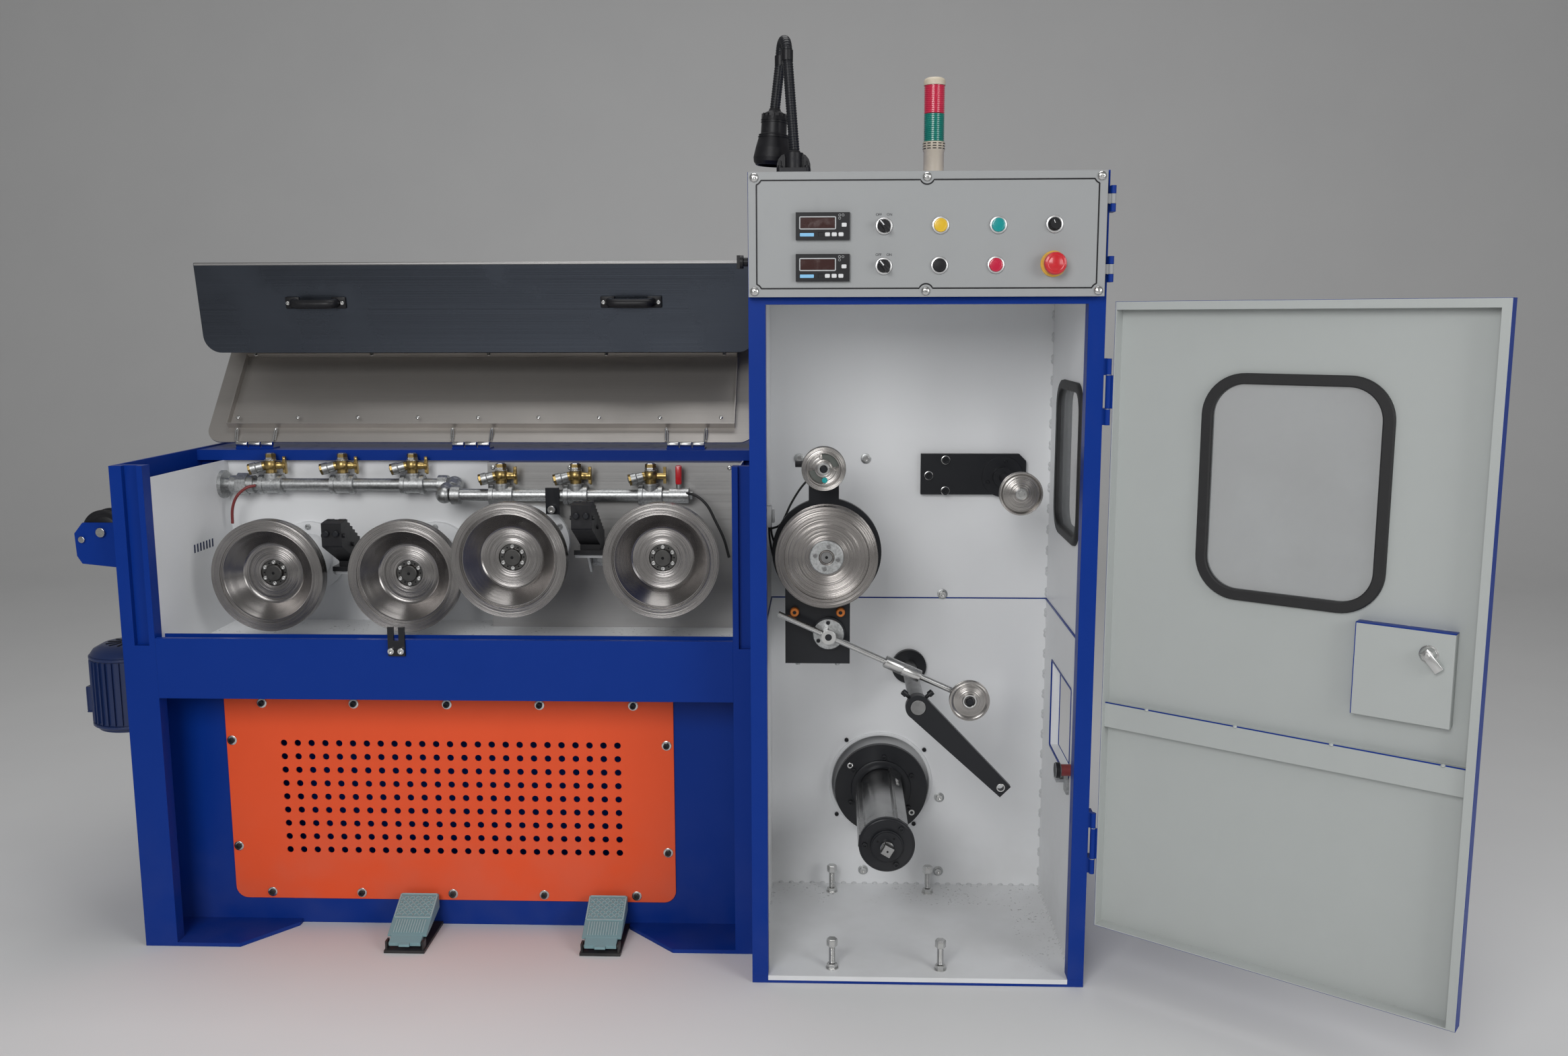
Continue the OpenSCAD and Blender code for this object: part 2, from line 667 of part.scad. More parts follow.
// Threaded tee with its upright branch
module tee(x, pipe) {
  xcyl(38, x - 24, x + 24, pipe);
  xcyl(42, x - 26, x - 16, pipe);
  xcyl(42, x + 16, x + 26, pipe);
  translate([x, pipe[0], pipe[1]]) cylinder(d = 34, h = 26);
}
module left_manifold() color(zinc) place() {
  xcyl(pipe_d, inner_left_x, elbow_x, left_pipe);
  xcyl(62, inner_left_x, inner_left_x + 8, left_pipe);
  translate([inner_left_x + 36, left_pipe[0], left_pipe[1]]) rotate([0, 90, 0]) cylinder(d = 50, h = 24, $fn = 6);
  xcyl(40, inner_left_x + 22, inner_left_x + 74, left_pipe);
  for (x = left_tees) tee(x, left_pipe);
  xcyl(40, elbow_x - 34, elbow_x - 14, left_pipe);
  translate([elbow_x, left_pipe[0], left_pipe[1]]) sphere(d = 38);
  translate([elbow_x, left_pipe[0], left_pipe[1]]) rotate([106, 0, 0]) cylinder(d = 36, h = 28);
}
module right_manifold() color(zinc) place() {
  xcyl(pipe_d, elbow_x - 8, valve_x, right_pipe);
  for (x = right_tees) tee(x, right_pipe);
  xcyl(40, elbow_x + 8, elbow_x + 28, right_pipe);
  translate([elbow_x - 8, right_pipe[0], right_pipe[1]]) sphere(d = 38);
  translate([elbow_x - 8, right_pipe[0], right_pipe[1]]) rotate([-74, 0, 0]) cylinder(d = 36, h = 28);
  xcyl(34, valve_x - 12, valve_x + 30, right_pipe);
  translate([valve_x + 8, right_pipe[0], right_pipe[1]]) cylinder(d = 12, h = 28);
  span([valve_x + 3, right_pipe[0] - 8, right_pipe[1] + 26], [valve_x + 13, right_pipe[0] + 8, right_pipe[1] + 64]);
  span([-466, right_pipe[0] - 17, right_pipe[1] - 40], [-436, right_pipe[0] - 13.5, right_pipe[1] + 18]);
  ycyl(10, right_pipe[0] - 24, plate_y, [-451, right_pipe[1] - 28]);
}

// Brass spray valves on the tees: body, top plug, nozzle and wing lever
module spray_valve(x, pipe) translate([x, pipe[0], pipe[1] + 26]) {
  cylinder(d = 24, h = 30);
  translate([0, 0, 17]) sphere(d = 32);
  translate([0, 0, 30]) cylinder(d = 24, h = 12, $fn = 6);
  translate([-44, -10, 8]) rotate([0, 76, 12]) cylinder(d = 20, h = 34);
  translate([-46, -10.4, 7.6]) rotate([0, 76, 12]) cylinder(d = 25, h = 14, $fn = 8);
  translate([12, 0, 16]) rotate([0, 90, 0]) cylinder(d = 14, h = 22);
  span([28, -4, 0], [34, 4, 36]);
}
module spray_valves() color(brass) place() {
  for (x = left_tees) spray_valve(x, left_pipe);
  for (x = right_tees) spray_valve(x, right_pipe);
}

// Stepped die holders between the cones of each pair
module die_holder(x, y, z, wall) translate([x, y, z]) {
  difference() {
    translate([-die_w / 2, 0, 0]) rotate([90, 0, 90]) linear_extrude(die_w) polygon(concat([[92, 6], [92, 18],
      [2, 63], [0, 66], [0, 113]], [for (i = [0:die_steps - 1], k = [0, 1])
      [25 + die_pitch * (i + k), 116 - die_drop * i]], [[25 + die_pitch * die_steps, 6]]));
    for (i = [0:die_steps - 1]) span([-3, 28 + die_pitch * i, 104 - die_drop * i], [3, 34 + die_pitch * i, 120]);
  }
  for (s = [-1, 1], k = [[44, 12, 86], [24, 62, 60]]) translate([s * (die_w / 2 - 1), k[1], k[2]])
    rotate([0, s * 90, 0]) cylinder(d = 9, h = 5);
  span([-33, 84, -3], [33, wall - y, 7]);
}
module die_holders() color(black) place() {
  die_holder(-881, left_cone_y - 10, left_cone_z, back_y);
  die_holder(-351, right_cone_y, right_cone_z, plate_y);
}

// Bearing housings on the chamber wall
module cone_bearings() color(white) place() for (c = cones) turned([c[0], c[2]], c[1] + cone_depth + 8, let(
  bore = cone_shaft_d / 2 + run_gap, reach = c[3] - c[1] - cone_depth - 8) [
  [bore, 0], [boss_d / 2, 0], [boss_d / 2, reach - bearing_t], [bearing_d / 2, reach - bearing_t],
  [bearing_d / 2, reach], [bore, reach]]);

// Stepped drawing cone with its dished face, hub and shaft
function cone_steps_pts() = [for (i = [0:cone_steps - 1], k = [0, 1])
  [cone_r - step_drop * i, i == 0 && k == 0 ? 0 : 26 + step_w * (i + k - 1)]];
module drawing_cone(c) place() turned([c[0], c[2]], c[1], concat(
  [[0, dish_depth - 5], [hub_r - 12, dish_depth - 5], [hub_r - 11, dish_depth - 4], [hub_r - 11, dish_depth + 8],
    [hub_r - 9, dish_depth + 8], [hub_r - 9, dish_depth + 3], [hub_r - 1, dish_depth + 3],
    [hub_r - 1, dish_depth + 8], [hub_r + 0.5, dish_depth + 8], [hub_r + 0.5, dish_depth], [dish_r, dish_depth],
    [dish_r + 4, dish_depth - 1], [dish_r + 7, dish_depth - 3], [cone_r - rim_w - 7, 5],
    [cone_r - rim_w - 6, 4], [cone_r - rim_w - 3, 4], [cone_r - rim_w - 3, 2], [cone_r - rim_w, 2],
    [cone_r - rim_w, 0]],
  cone_steps_pts(),
  [[cone_shaft_d / 2, cone_depth], [cone_shaft_d / 2, c[3] - c[1] + shaft_in], [0, c[3] - c[1] + shaft_in]]));
module drawing_cone_1() color(steel) drawing_cone(cones[0]);
module drawing_cone_2() color(steel) drawing_cone(cones[1]);
module drawing_cone_3() color(steel) drawing_cone(cones[2]);
module drawing_cone_4() color(steel) drawing_cone(cones[3]);

// Perforated cover of the cooling opening
module vent_cover() color(orange) place() along_y(recess_y - cover_t, recess_y) difference() {
  union() {
    translate([cover_x, cover_z + 26]) square([cover_w, cover_h - 26]);
    translate([cover_x + 26, cover_z]) square([cover_w - 52, cover_h]);
    for (x = [cover_x + 26, cover_x + cover_w - 26]) translate([x, cover_z + 26]) circle(26);
  }
  for (i = [0:vent_cols - 1], j = [0:vent_rows - 1])
    translate([vent_x + vent_pitch * i, vent_z - vent_pitch * j]) circle(d = vent_d, $fn = 24);
}

// Foot pedals: fixed base and sprung tread
module pedal_bases() color(black) place() for (x = pedals) {
  span([x - 42, pedal_y - 4, 0], [x + 42, recess_y, 6]);
  for (s = [-1, 1]) span([x + s * 38 - 2, pedal_y, 6], [x + s * 38 + 2, pedal_y + 18, 24]);
  xcyl(8, x - 40, x + 40, pedal_pivot);
}
module pedal(x) place() difference() {
  translate([x, 0, 0]) union() {
    translate([-30, 0, 0]) rotate([90, 0, 90]) linear_extrude(60) polygon([[pedal_y + 1, 14], [pedal_y + 10, 24],
      [pedal_y + pedal_len, 78], [pedal_y + pedal_len, 66], [pedal_y + 20, 14], [pedal_y + 8, 9]]);
    translate([-42, 0, 0]) rotate([90, 0, 90]) linear_extrude(84) polygon([[pedal_y + 50, 42.5],
      [pedal_y + pedal_len, 78], [pedal_y + pedal_len, 44], [pedal_y + 86, 34]]);
  }
  xcyl(8 + 2 * run_gap, x - 50, x + 50, pedal_pivot);
}
module left_pedal() color(aqua) pedal(pedals[0]);
module right_pedal() color(aqua) pedal(pedals[1]);

// Entry roller and the bracket that holds it
module bracket_plate(y0) along_y(y0, y0 + 6) polygon([[left_x, 790], [left_x - 96, 800], [left_x - 106, 816],
  [left_x - 108, 862], [left_x - 90, 884], [left_x - 22, 884], [left_x, 866]]);
module entry_bracket() color(blue) place() {
  bracket_plate(roller_y - 8);
  bracket_plate(roller_y + roller_t + 2);
  span([left_x - sheet, roller_y - 8, 770], [left_x, roller_y + roller_t + 8, 790]);
  ycyl(16, roller_y - 14, roller_y + roller_t + 14, roller);
  for (y = [roller_y - 12, roller_y + roller_t + 1]) ycyl(10, y, y + 11, [left_x - 92, 850]);
}
module entry_roller() color(black) place() turned(roller, roller_y, [[8 + run_gap, 0], [roller_d / 2, 0],
  [roller_d / 2, 5], [roller_d / 2 - 7, 12], [roller_d / 2 - 7, roller_t - 12], [roller_d / 2, roller_t - 5],
  [roller_d / 2, roller_t], [8 + run_gap, roller_t]]);

// Upright pump motor on the left side
module side_motor() color("#0B2350") place() {
  translate([motor[0], motor[1], 427]) cylinder(d = motor_d - 12, h = 8);
  translate([motor[0], motor[1], 435]) cylinder(d = motor_d, h = 150);
  translate([motor[0], motor[1], 585]) cylinder(d1 = motor_d, d2 = motor_d - 50, h = 22);
  span([motor[0] - motor_d / 2 - 9, motor[1] - 30, 462], [motor[0] - 20, motor[1] + 30, 516]);
  span([motor[0] + 20, motor[1] - 32, 470], [left_x, motor[1] + 32, 560]);
}

// Lid, drawn closed about its hinge line and then opened
module at_lid() place() translate([0, hinge_y, hinge_z]) rotate([-lid_open, 0, 0]) children();
module flat_plate(len, t, r) translate([lid_x0, 0, 0]) difference() {
  span([0, -len, 0], [lid_w, 0, t]);
  if (r > 0) for (s = [0, 1]) translate([s * lid_w, 0, -1]) mirror([s, 0, 0]) difference() {
    span([-1, -r, 0], [r, 1, t + 2]);
    translate([r, -r, 0]) cylinder(r = r, h = t + 2);
  }
}
function rear_point(s, h) = [h * sin(lid_rise) - s * cos(lid_rise), s * sin(lid_rise) + h * cos(lid_rise)];
function front_point(s, h) = [-fold_y - s * cos(lid_drop) - h * sin(lid_drop),
  fold_z - s * sin(lid_drop) + h * cos(lid_drop)];
rear_start = knuckle_d / 2 + seat;
front_end = lid_front - flap_barrel_d / 2 - seat;
module tray(from, to) difference() {
  span([lid_x0 + 46, -to, -tray_h], [lid_x1 - 46, -from, sheet / 2]);
  span([lid_x0 + 48, 2 - to, -tray_h - 1], [lid_x1 - 48, -from - 2, -2]);
}
module lid_plate() color(steel) at_lid() {
  difference() {
    along_x(lid_x0, lid_x1) polygon([rear_point(rear_start, 0), rear_point(rear_start, sheet),
      rear_point(lid_rear, sheet), front_point(0, sheet), front_point(front_end, sheet), front_point(front_end, 0),
      [-fold_y, fold_z]]);
    rotate([-lid_rise, 0, 0]) for (m = [0, 1]) translate([m ? lid_x1 : lid_x0, -rear_start, -1]) mirror([m, 0, 0])
      difference() {
        span([-1, -lid_r, 0], [lid_r, 1, sheet + 2]);
        translate([lid_r, -lid_r, 0]) cylinder(r = lid_r, h = sheet + 2);
      }
  }
  rotate([-lid_rise, 0, 0]) tray(44, lid_rear - tray_gap);
  translate([0, -fold_y, fold_z]) rotate([lid_drop, 0, 0]) tray(tray_gap, lid_front - 40);
}

// Flap that hangs from the lid's front edge
module at_flap() place() translate([0, flap_y, flap_z]) rotate([flap_lean, 0, 0]) children();
module flap_plate() color(steel) at_flap() {
  rotate([90, 0, 0]) translate([0, -flap_len, flap_barrel_d / 2 - sheet]) mirror([0, 1, 0])
    flat_plate(flap_len, sheet, lid_r);
  xcyl(flap_barrel_d, lid_x0, lid_x1, [0, 0]);
}
module flap_handles() color(black) at_flap() for (x = [-994, -290]) translate([x, -4, -84]) {
  for (s = [-1, 1]) span([s * 58 - 9, -26, -10], [s * 58 + 9, 0, 10]);
  span([-50, -34, -10], [50, -24, 10]);
}

// Black bracket that carries the finishing capstan, sensing pulley and dancer
module capstan_bracket() color(black) place() difference() {
  union() {
    along_y(bracket_y, bracket_y + bracket_t) {
      translate([60, 600]) square([130, 250]);
      translate([sensor[0] - 30, 850]) square([60, sensor[1] - 850]);
      translate(sensor) circle(30);
      translate(capstan) circle(109);
    }
    span([85, bracket_y + bracket_t, 650], [165, chamber_d, 850]);
    ycyl(68, bracket_y - 8, bracket_y, dancer);
    for (x = [79, 171]) ycyl(15, bracket_y - 14, bracket_y, [x, 708]);
  }
  ycyl(30 + 2 * run_gap, bracket_y - 10, bracket_y + 45, capstan);
  ycyl(pulley_pin_d + 2 * run_gap, bracket_y - 1, bracket_y + bracket_t + 1, sensor);
  ycyl(16 + 2 * run_gap, bracket_y - 9, bracket_y + 40, dancer);
}
module finish_capstan() color(steel) place() turned(capstan, capstan_y, [[0, 6], [11, 6], [11, 4], [12, 2.5],
  [14, 2.5], [15, 4], [31, 4], [32.5, 5], [32.5, 8], [capstan_d / 2 - 20, 3], [capstan_d / 2 - 17, 3],
  [capstan_d / 2 - 17, 0], [capstan_d / 2 - 1, 0], [capstan_d / 2, 1], [capstan_d / 2, 6],
  [capstan_d / 2 - 6, 12], [capstan_d / 2 - 6, capstan_t - 10], [capstan_d / 2, capstan_t - 4],
  [capstan_d / 2, capstan_t], [15, capstan_t], [15, bracket_y + 40 - capstan_y], [0, bracket_y + 40 - capstan_y]]);
module grooved_pulley(at, y, d, t, pin, back) turned(at, y, [[0, 0], [d / 2 - 8, 3], [d / 2 - 4, 0], [d / 2, 0],
  [d / 2, 2], [d / 2 - 5, t / 2], [d / 2, t - 2], [d / 2, t], [pin / 2, t], [pin / 2, back - y], [0, back - y]]);
function arc(r, a, b) = [for (i = [0:8]) let(t = a + (b - a) * i / 8) r * [cos(t), sin(t)]];
function cap(t, from) = [for (i = [1:4]) let(u = t + from + 36 * i) 23.5 * [cos(t), sin(t)] + 6.5 * [cos(u), sin(u)]];
module kidney(a, b) polygon(concat(arc(30, a, b), cap(b, 0), arc(17, b, a), cap(a, 180)));
module sensor_pulley() color(silver) place() difference() {
  turned(sensor, capstan_y, [[0, 1], [10, 1], [10, 0], [14, 0], [14, 2], [33, 2], [34, 0], [sensor_d / 2 - 1, 0],
    [sensor_d / 2, 1], [sensor_d / 2, 3], [sensor_d / 2 - 5, sensor_t / 2], [sensor_d / 2, sensor_t - 3],
    [sensor_d / 2, sensor_t], [pulley_pin_d / 2, sensor_t], [pulley_pin_d / 2, bracket_y + bracket_t - capstan_y],
    [0, bracket_y + bracket_t - capstan_y]]);
  along_y(capstan_y - 1, capstan_y + 9) translate(sensor) {
    kidney(8, 98);
    kidney(190, 268);
  }
}

// Dancer arm: hub, rod, counterweight and the block that holds its pulley
module at_dancer() place() translate([dancer[0], dancer_y, dancer[1]]) rotate([0, -dancer_angle, 0]) children();
module dancer_arm() color(silver) at_dancer() difference() {
  union() {
    xcyl(dancer_rod_d, -dancer_stub, dancer_len - 10, [0, 0]);
    xcyl(24, 124, 200, [0, 0]);
    ycyl(30, -12, bracket_y - dancer_y - 8.3, [0, 0]);
    ycyl(16, 0, bracket_y + 38 - dancer_y, [0, 0]);
    xcyl(20, dancer_len - 12, dancer_len + 10, [0, 0]);
  }
  ycyl(10 + 2 * run_gap, -11, 11, [dancer_len, 0]);
}
module dancer_pulley() color(steel) at_dancer()
  grooved_pulley([dancer_len, 0], -26, dancer_pulley_d, 14, 10, 10);

// Shafts and plates fixed to the cabinet's back wall
module take_up_supports() color(black) place() {
  along_y(chamber_d - 15, chamber_d) polygon([[345, 912], [345, 1000], [556, 1000], [571, 985], [571, 912]]);
  ycyl(88, chamber_d - 18, chamber_d - 14, traverse);
  ycyl(44, chamber_d - 34, chamber_d - 15, traverse);
  ycyl(20, traverse_y + 6, chamber_d - 15, traverse);
  ycyl(76, chamber_d - 12, chamber_d, arm_pivot);
  ycyl(arm_shaft_d, arm_y + 1, chamber_d - 12, arm_pivot);
}
module traverse_pulley() color(steel) place() turned(traverse, traverse_y, [[0, 2], [12, 2], [traverse_d / 2 - 6, 5],
  [traverse_d / 2 - 3, 0], [traverse_d / 2, 0], [traverse_d / 2, 2], [traverse_d / 2 - 5, 8],
  [traverse_d / 2, 14], [traverse_d / 2, 16], [10 + run_gap, 16], [10 + run_gap, 5.9], [0, 5.9]]);

// Tapered spool arm, clamped on its shaft
module spool_arm() color(black) place() translate([arm_pivot[0], arm_y, arm_pivot[1]])
  rotate([0, -arm_angle, 0]) difference() {
    union() {
      along_y(0, arm_t) {
        circle(d = 50);
        polygon([[6, 24.5], [arm_len - 8, 16], [arm_len + 13, 15], [arm_len + 13, -15], [arm_len - 8, -16], [6, -24.5]]);
      }
      ycyl(44, arm_t, arm_t + 18, [0, 0]);
    }
    ycyl(arm_shaft_d + 2 * run_gap, -1, arm_t + 19, [0, 0]);
    ycyl(13, -1, arm_t + 1, [arm_len, 0]);
  }

// Take-up spindle: square end, front disc, ribbed barrel, flange and shaft
module spindle() color(silver) place() {
  turned(spindle_at, spindle_front, [[0, -8], [13, -8], [14, -7], [14, 0], [30, 0], [30, 2.5], [32, 2.5],
    [33, 4], [33, 10], [disc_d / 2 - 2, 10], [disc_d / 2, 12],
    [disc_d / 2, 20], [spindle_d / 2, 18], [spindle_d / 2, flange_y - spindle_front],
    [flange_d / 2, flange_y - spindle_front], [flange_d / 2, flange_y + 12 - spindle_front],
    [30, flange_y + 12 - spindle_front], [30, chamber_d + 140 - spindle_front], [0, chamber_d + 140 - spindle_front]]);
  translate([spindle_at[0], 0, spindle_at[1]]) {
    rotate([0, 30, 0]) span([-9.5, spindle_front - 24, -9.5], [9.5, spindle_front - 7, 9.5]);
    for (a = bar_angles) rotate([0, -a, 0]) difference() {
      span([spindle_d / 2 - 6, spindle_front + 19, -bar_w / 2], [bar_r, flange_y + 1, bar_w / 2]);
      for (z = [-bar_w / 2 - 1, bar_w / 2 - 3])
        span([bar_r - 3, spindle_front + 18, z], [bar_r + 1, flange_y + 2, z + 4]);
      span([bar_r - 5, 290, -5], [bar_r + 1, 330, 5]);
    }
  }
}

cab_base();
cab_posts();
cab_left_wall();
cab_right_wall();
cab_back_wall();
cab_roof();
rear_housing();
anchor_bolts();
side_window();
side_latch();
control_box();
box_lock();
control_panel();
panel_meters();
panel_controls();
panel_stop();
tower_stem();
tower_green();
tower_red();
gooseneck_lamp();
cab_door();
door_window();
door_lock();
body_left_end();
body_right_end();
front_beam();
drive_housing();
bearing_plate();
chamber_lining();
top_cover();
latch_fork();
left_manifold();
right_manifold();
spray_valves();
die_holders();
cone_bearings();
drawing_cone_1();
drawing_cone_2();
drawing_cone_3();
drawing_cone_4();
vent_cover();
pedal_bases();
left_pedal();
right_pedal();
entry_bracket();
entry_roller();
side_motor();
lid_plate();
flap_plate();
flap_handles();
capstan_bracket();
finish_capstan();
sensor_pulley();
dancer_arm();
dancer_pulley();
take_up_supports();
traverse_pulley();
spool_arm();
spindle();
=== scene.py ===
"""Looks of the fine wire drawing machine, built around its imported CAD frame.

The CAD nodes keep their shapes and take procedural finishes. What is too fine for the
solids is made here: screws, weld dots, gaskets, ribs, lenses, tubes and hinge wires.
Sizes are written in millimetres from the cabinet's front left corner, as in the part's
source, and each mesh is carried into the row frame by one matrix.
"""
import functools
import logging
import math
from dataclasses import dataclass
from enum import Enum
from typing import Callable, Iterable, Optional, Sequence

import bmesh
import bpy
from mathutils import Matrix, Vector

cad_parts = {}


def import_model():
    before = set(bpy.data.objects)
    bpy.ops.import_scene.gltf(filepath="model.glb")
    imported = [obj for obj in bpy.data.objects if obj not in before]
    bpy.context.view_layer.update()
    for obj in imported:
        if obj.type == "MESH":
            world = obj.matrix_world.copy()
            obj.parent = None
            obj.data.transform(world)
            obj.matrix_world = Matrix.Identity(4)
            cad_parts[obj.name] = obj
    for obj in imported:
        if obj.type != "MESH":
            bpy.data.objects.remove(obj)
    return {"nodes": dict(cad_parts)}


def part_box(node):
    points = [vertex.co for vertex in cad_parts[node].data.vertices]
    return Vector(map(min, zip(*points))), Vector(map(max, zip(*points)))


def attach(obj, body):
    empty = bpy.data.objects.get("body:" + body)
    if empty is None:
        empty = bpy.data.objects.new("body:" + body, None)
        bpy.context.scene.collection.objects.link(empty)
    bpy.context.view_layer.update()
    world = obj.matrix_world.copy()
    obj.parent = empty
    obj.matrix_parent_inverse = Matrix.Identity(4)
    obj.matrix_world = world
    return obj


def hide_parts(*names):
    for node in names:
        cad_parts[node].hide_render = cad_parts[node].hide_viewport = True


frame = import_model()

LOG = logging.getLogger("wire_drawing_machine")
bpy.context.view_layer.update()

Point = Sequence[float]
Pair = tuple[float, float]
Place = tuple[Point, Point]
Colour = tuple[float, float, float]
Box = tuple[tuple, tuple]

MM = 0.001
PER_METRE = 1000.0
CORNER_X, CORNER_Y = 322.5, 450.0
CORNER = Matrix.Translation((-CORNER_X * MM, -CORNER_Y * MM, 0.0)) @ Matrix.Scale(MM, 4)
FLAT = Matrix.Identity(4)
FRONT: Point = (0, -1, 0)
DOWN: Point = (0, 0, -1)


def posed(at: Point, degrees: float, axis: str) -> Matrix:
    """A move to a point, with a turn about an axis there."""
    return Matrix.Translation(at) @ Matrix.Rotation(math.radians(degrees), 4, axis)


def plane(at: Point, right: Point = (1, 0, 0), up: Point = (0, 0, 1)) -> Matrix:
    """Matrix from a plane drawn as (right, up, outward) to the drawing."""
    outward = Vector(right).cross(Vector(up))
    return Matrix(((*right, 0), (*up, 0), (*outward, 0), (*at, 1))).transposed()


def operator(kind: str, swap: bool = False) -> Callable[..., "Val"]:
    """Makes a method of Val that adds one Math node.

    Args:
        kind: The node's operation.
        swap: True if the value itself comes second, so that 1 - mask works.

    Returns:
        The method.
    """
    def method(self: "Val", *others: "Val | float") -> "Val":
        terms = [*others, self] if swap else [self, *others]
        return self.tree.add("ShaderNodeMath", {"operation": kind}, dict(enumerate(terms)))
    return method


@dataclass(frozen=True, eq=False, order=False)
class Val:
    """A shader value that can be written into sums and comparisons."""

    tree: "Shader"
    socket: bpy.types.NodeSocket

    __add__ = __radd__ = operator("ADD")
    __sub__, __rsub__ = operator("SUBTRACT"), operator("SUBTRACT", swap=True)
    __mul__ = __rmul__ = operator("MULTIPLY")
    __truediv__ = operator("DIVIDE")
    __gt__, __lt__ = operator("GREATER_THAN"), operator("LESS_THAN")
    root = operator("SQRT")

    def bend(self, low: float, high: float) -> "Val":
        """Maps low..high smoothly to 0..1."""
        return self.tree.add("ShaderNodeMapRange", {"interpolation_type": "SMOOTHSTEP"},
                             {"Value": self, "From Min": low, "From Max": high})


class Shader:
    """Builds one material's nodes.

    Args:
        name: The material's name.
    """

    def __init__(self, name: str) -> None:
        self.material = bpy.data.materials.new(name)
        self.material.use_nodes = True
        self.nodes = self.material.node_tree.nodes
        self.links = self.material.node_tree.links
        self.surface = self.nodes["Principled BSDF"]

    def set(self, node: bpy.types.Node, values: dict) -> None:
        """Gives a node's inputs their numbers, colours or links."""
        for key, value in values.items():
            socket = node.inputs[key]
            if isinstance(value, Val):
                self.links.new(value.socket, socket)
            elif isinstance(value, tuple) and len(value) == 3 and socket.type == "RGBA":
                socket.default_value = (*value, 1.0)
            else:
                socket.default_value = value

    def add(self, kind: str, settings: dict, values: dict, output: int | str = 0) -> Val:
        """Makes one node.

        Args:
            kind: The node's type.
            settings: Its properties, which are set first.
            values: Values or links of its inputs.
            output: The output that is wanted.

        Returns:
            That output as a value.
        """
        node = self.nodes.new(kind)
        for key, value in settings.items():
            setattr(node, key, value)
        self.set(node, values)
        return Val(self, node.outputs[output])

    @functools.cached_property
    def place(self) -> Val:
        """The shaded point in the row frame, in metres."""
        return self.add("ShaderNodeTexCoord", {}, {}, "Object")

    @property
    def normal(self) -> Val:
        """The surface's own normal."""
        return self.add("ShaderNodeNewGeometry", {}, {}, "Normal")

    def parts(self, vector: Val) -> tuple[Val, Val, Val]:
        """The three numbers of a vector."""
        split = self.add("ShaderNodeSeparateXYZ", {}, {0: vector})
        return tuple(Val(self, s) for s in split.socket.node.outputs)

    def vec(self, kind: str, first: Val, second: Val | Point | None = None,
            scale: Val | float | None = None) -> Val:
        """One Vector Math node."""
        values = {0: first, 1: second, "Scale": scale}
        return self.add("ShaderNodeVectorMath", {"operation": kind},
                        {key: value for key, value in values.items() if value is not None})

    def noise(self, scale: float, detail: float = 2.0, stretch: Point = (1, 1, 1), rough: float = 0.5) -> Val:
        """Noise of a given number of cells to the metre, drawn out by stretch."""
        return self.add("ShaderNodeTexNoise", {}, {"Vector": self.vec("MULTIPLY", self.place, stretch),
                                                   "Scale": scale, "Detail": detail, "Roughness": rough})

    def mix(self, mask: Val | float, first: Val | Colour, second: Val | Colour) -> Val:
        """The first colour where the mask is 0 and the second where it is 1."""
        return self.add("ShaderNodeMix", {"data_type": "RGBA"}, {0: mask, 6: first, 7: second}, 2)

    def bump(self, height: Val, depth: float, edge: float) -> Val:
        """Normal of a surface raised by height times depth, with edges rounded, in metres."""
        rounded_edges = self.add("ShaderNodeBevel", {"samples": 4}, {"Radius": edge})
        return self.add("ShaderNodeBump", {}, {"Height": height, "Distance": depth, "Strength": 1.0,
                                               "Normal": rounded_edges})

    def grain(self, direction: Val, along: Val, pitch: float, tilt: float) -> Val:
        """Normal of a surface with grooves too fine to see.

        Args:
            direction: Unit vector across the grooves.
            along: Distance across the grooves, in metres.
            pitch: Width of a groove.
            tilt: How far the groove's flank leans.

        Returns:
            The tilted normal.
        """
        groove = self.add("ShaderNodeMath", {"operation": "FLOOR"}, {0: along / pitch})
        lean = self.add("ShaderNodeTexWhiteNoise", {"noise_dimensions": "1D"}, {"W": groove})
        world = self.add("ShaderNodeVectorTransform",
                         {"vector_type": "VECTOR", "convert_from": "OBJECT", "convert_to": "WORLD"},
                         {0: direction})
        push = self.vec("SCALE", world, scale=(lean - 0.5) * (2 * tilt))
        return self.vec("NORMALIZE", self.vec("ADD", self.normal, push))

    def second(self, mask: Val, sockets: dict) -> None:
        """Adds another surface that shows where the mask is 1."""
        other = self.add("ShaderNodeBsdfPrincipled", {}, sockets)
        own = Val(self, self.surface.outputs[0])
        mixed = self.add("ShaderNodeMixShader", {}, {0: mask, 1: own, 2: other})
        self.links.new(mixed.socket, self.nodes["Material Output"].inputs["Surface"])

    def drawn(self, pivot: Pair, degrees: float) -> tuple[Val, Val, Val]:
        """The shaded point in corner millimetres, turned back about an upright line."""
        x, y, z = self.parts(self.place)
        dx, dy = x * PER_METRE + (CORNER_X - pivot[0]), y * PER_METRE + (CORNER_Y - pivot[1])
        c, s = math.cos(math.radians(degrees)), math.sin(math.radians(degrees))
        return dx * c + dy * s + pivot[0], dy * c - dx * s + pivot[1], z * PER_METRE

    def within(self, point: tuple[Val, Val, Val], boxes: Sequence[Box]) -> Val:
        """1 inside any of the boxes, 0 elsewhere; a limit of None is left open."""
        masks = []
        for low, high in boxes:
            tests = [p > a for p, a in zip(point, low) if a is not None]
            tests += [p < b for p, b in zip(point, high) if b is not None]
            masks.append(functools.reduce(lambda one, next_one: one * next_one, tests))
        return functools.reduce(lambda one, next_one: one + next_one, masks) > 0.5


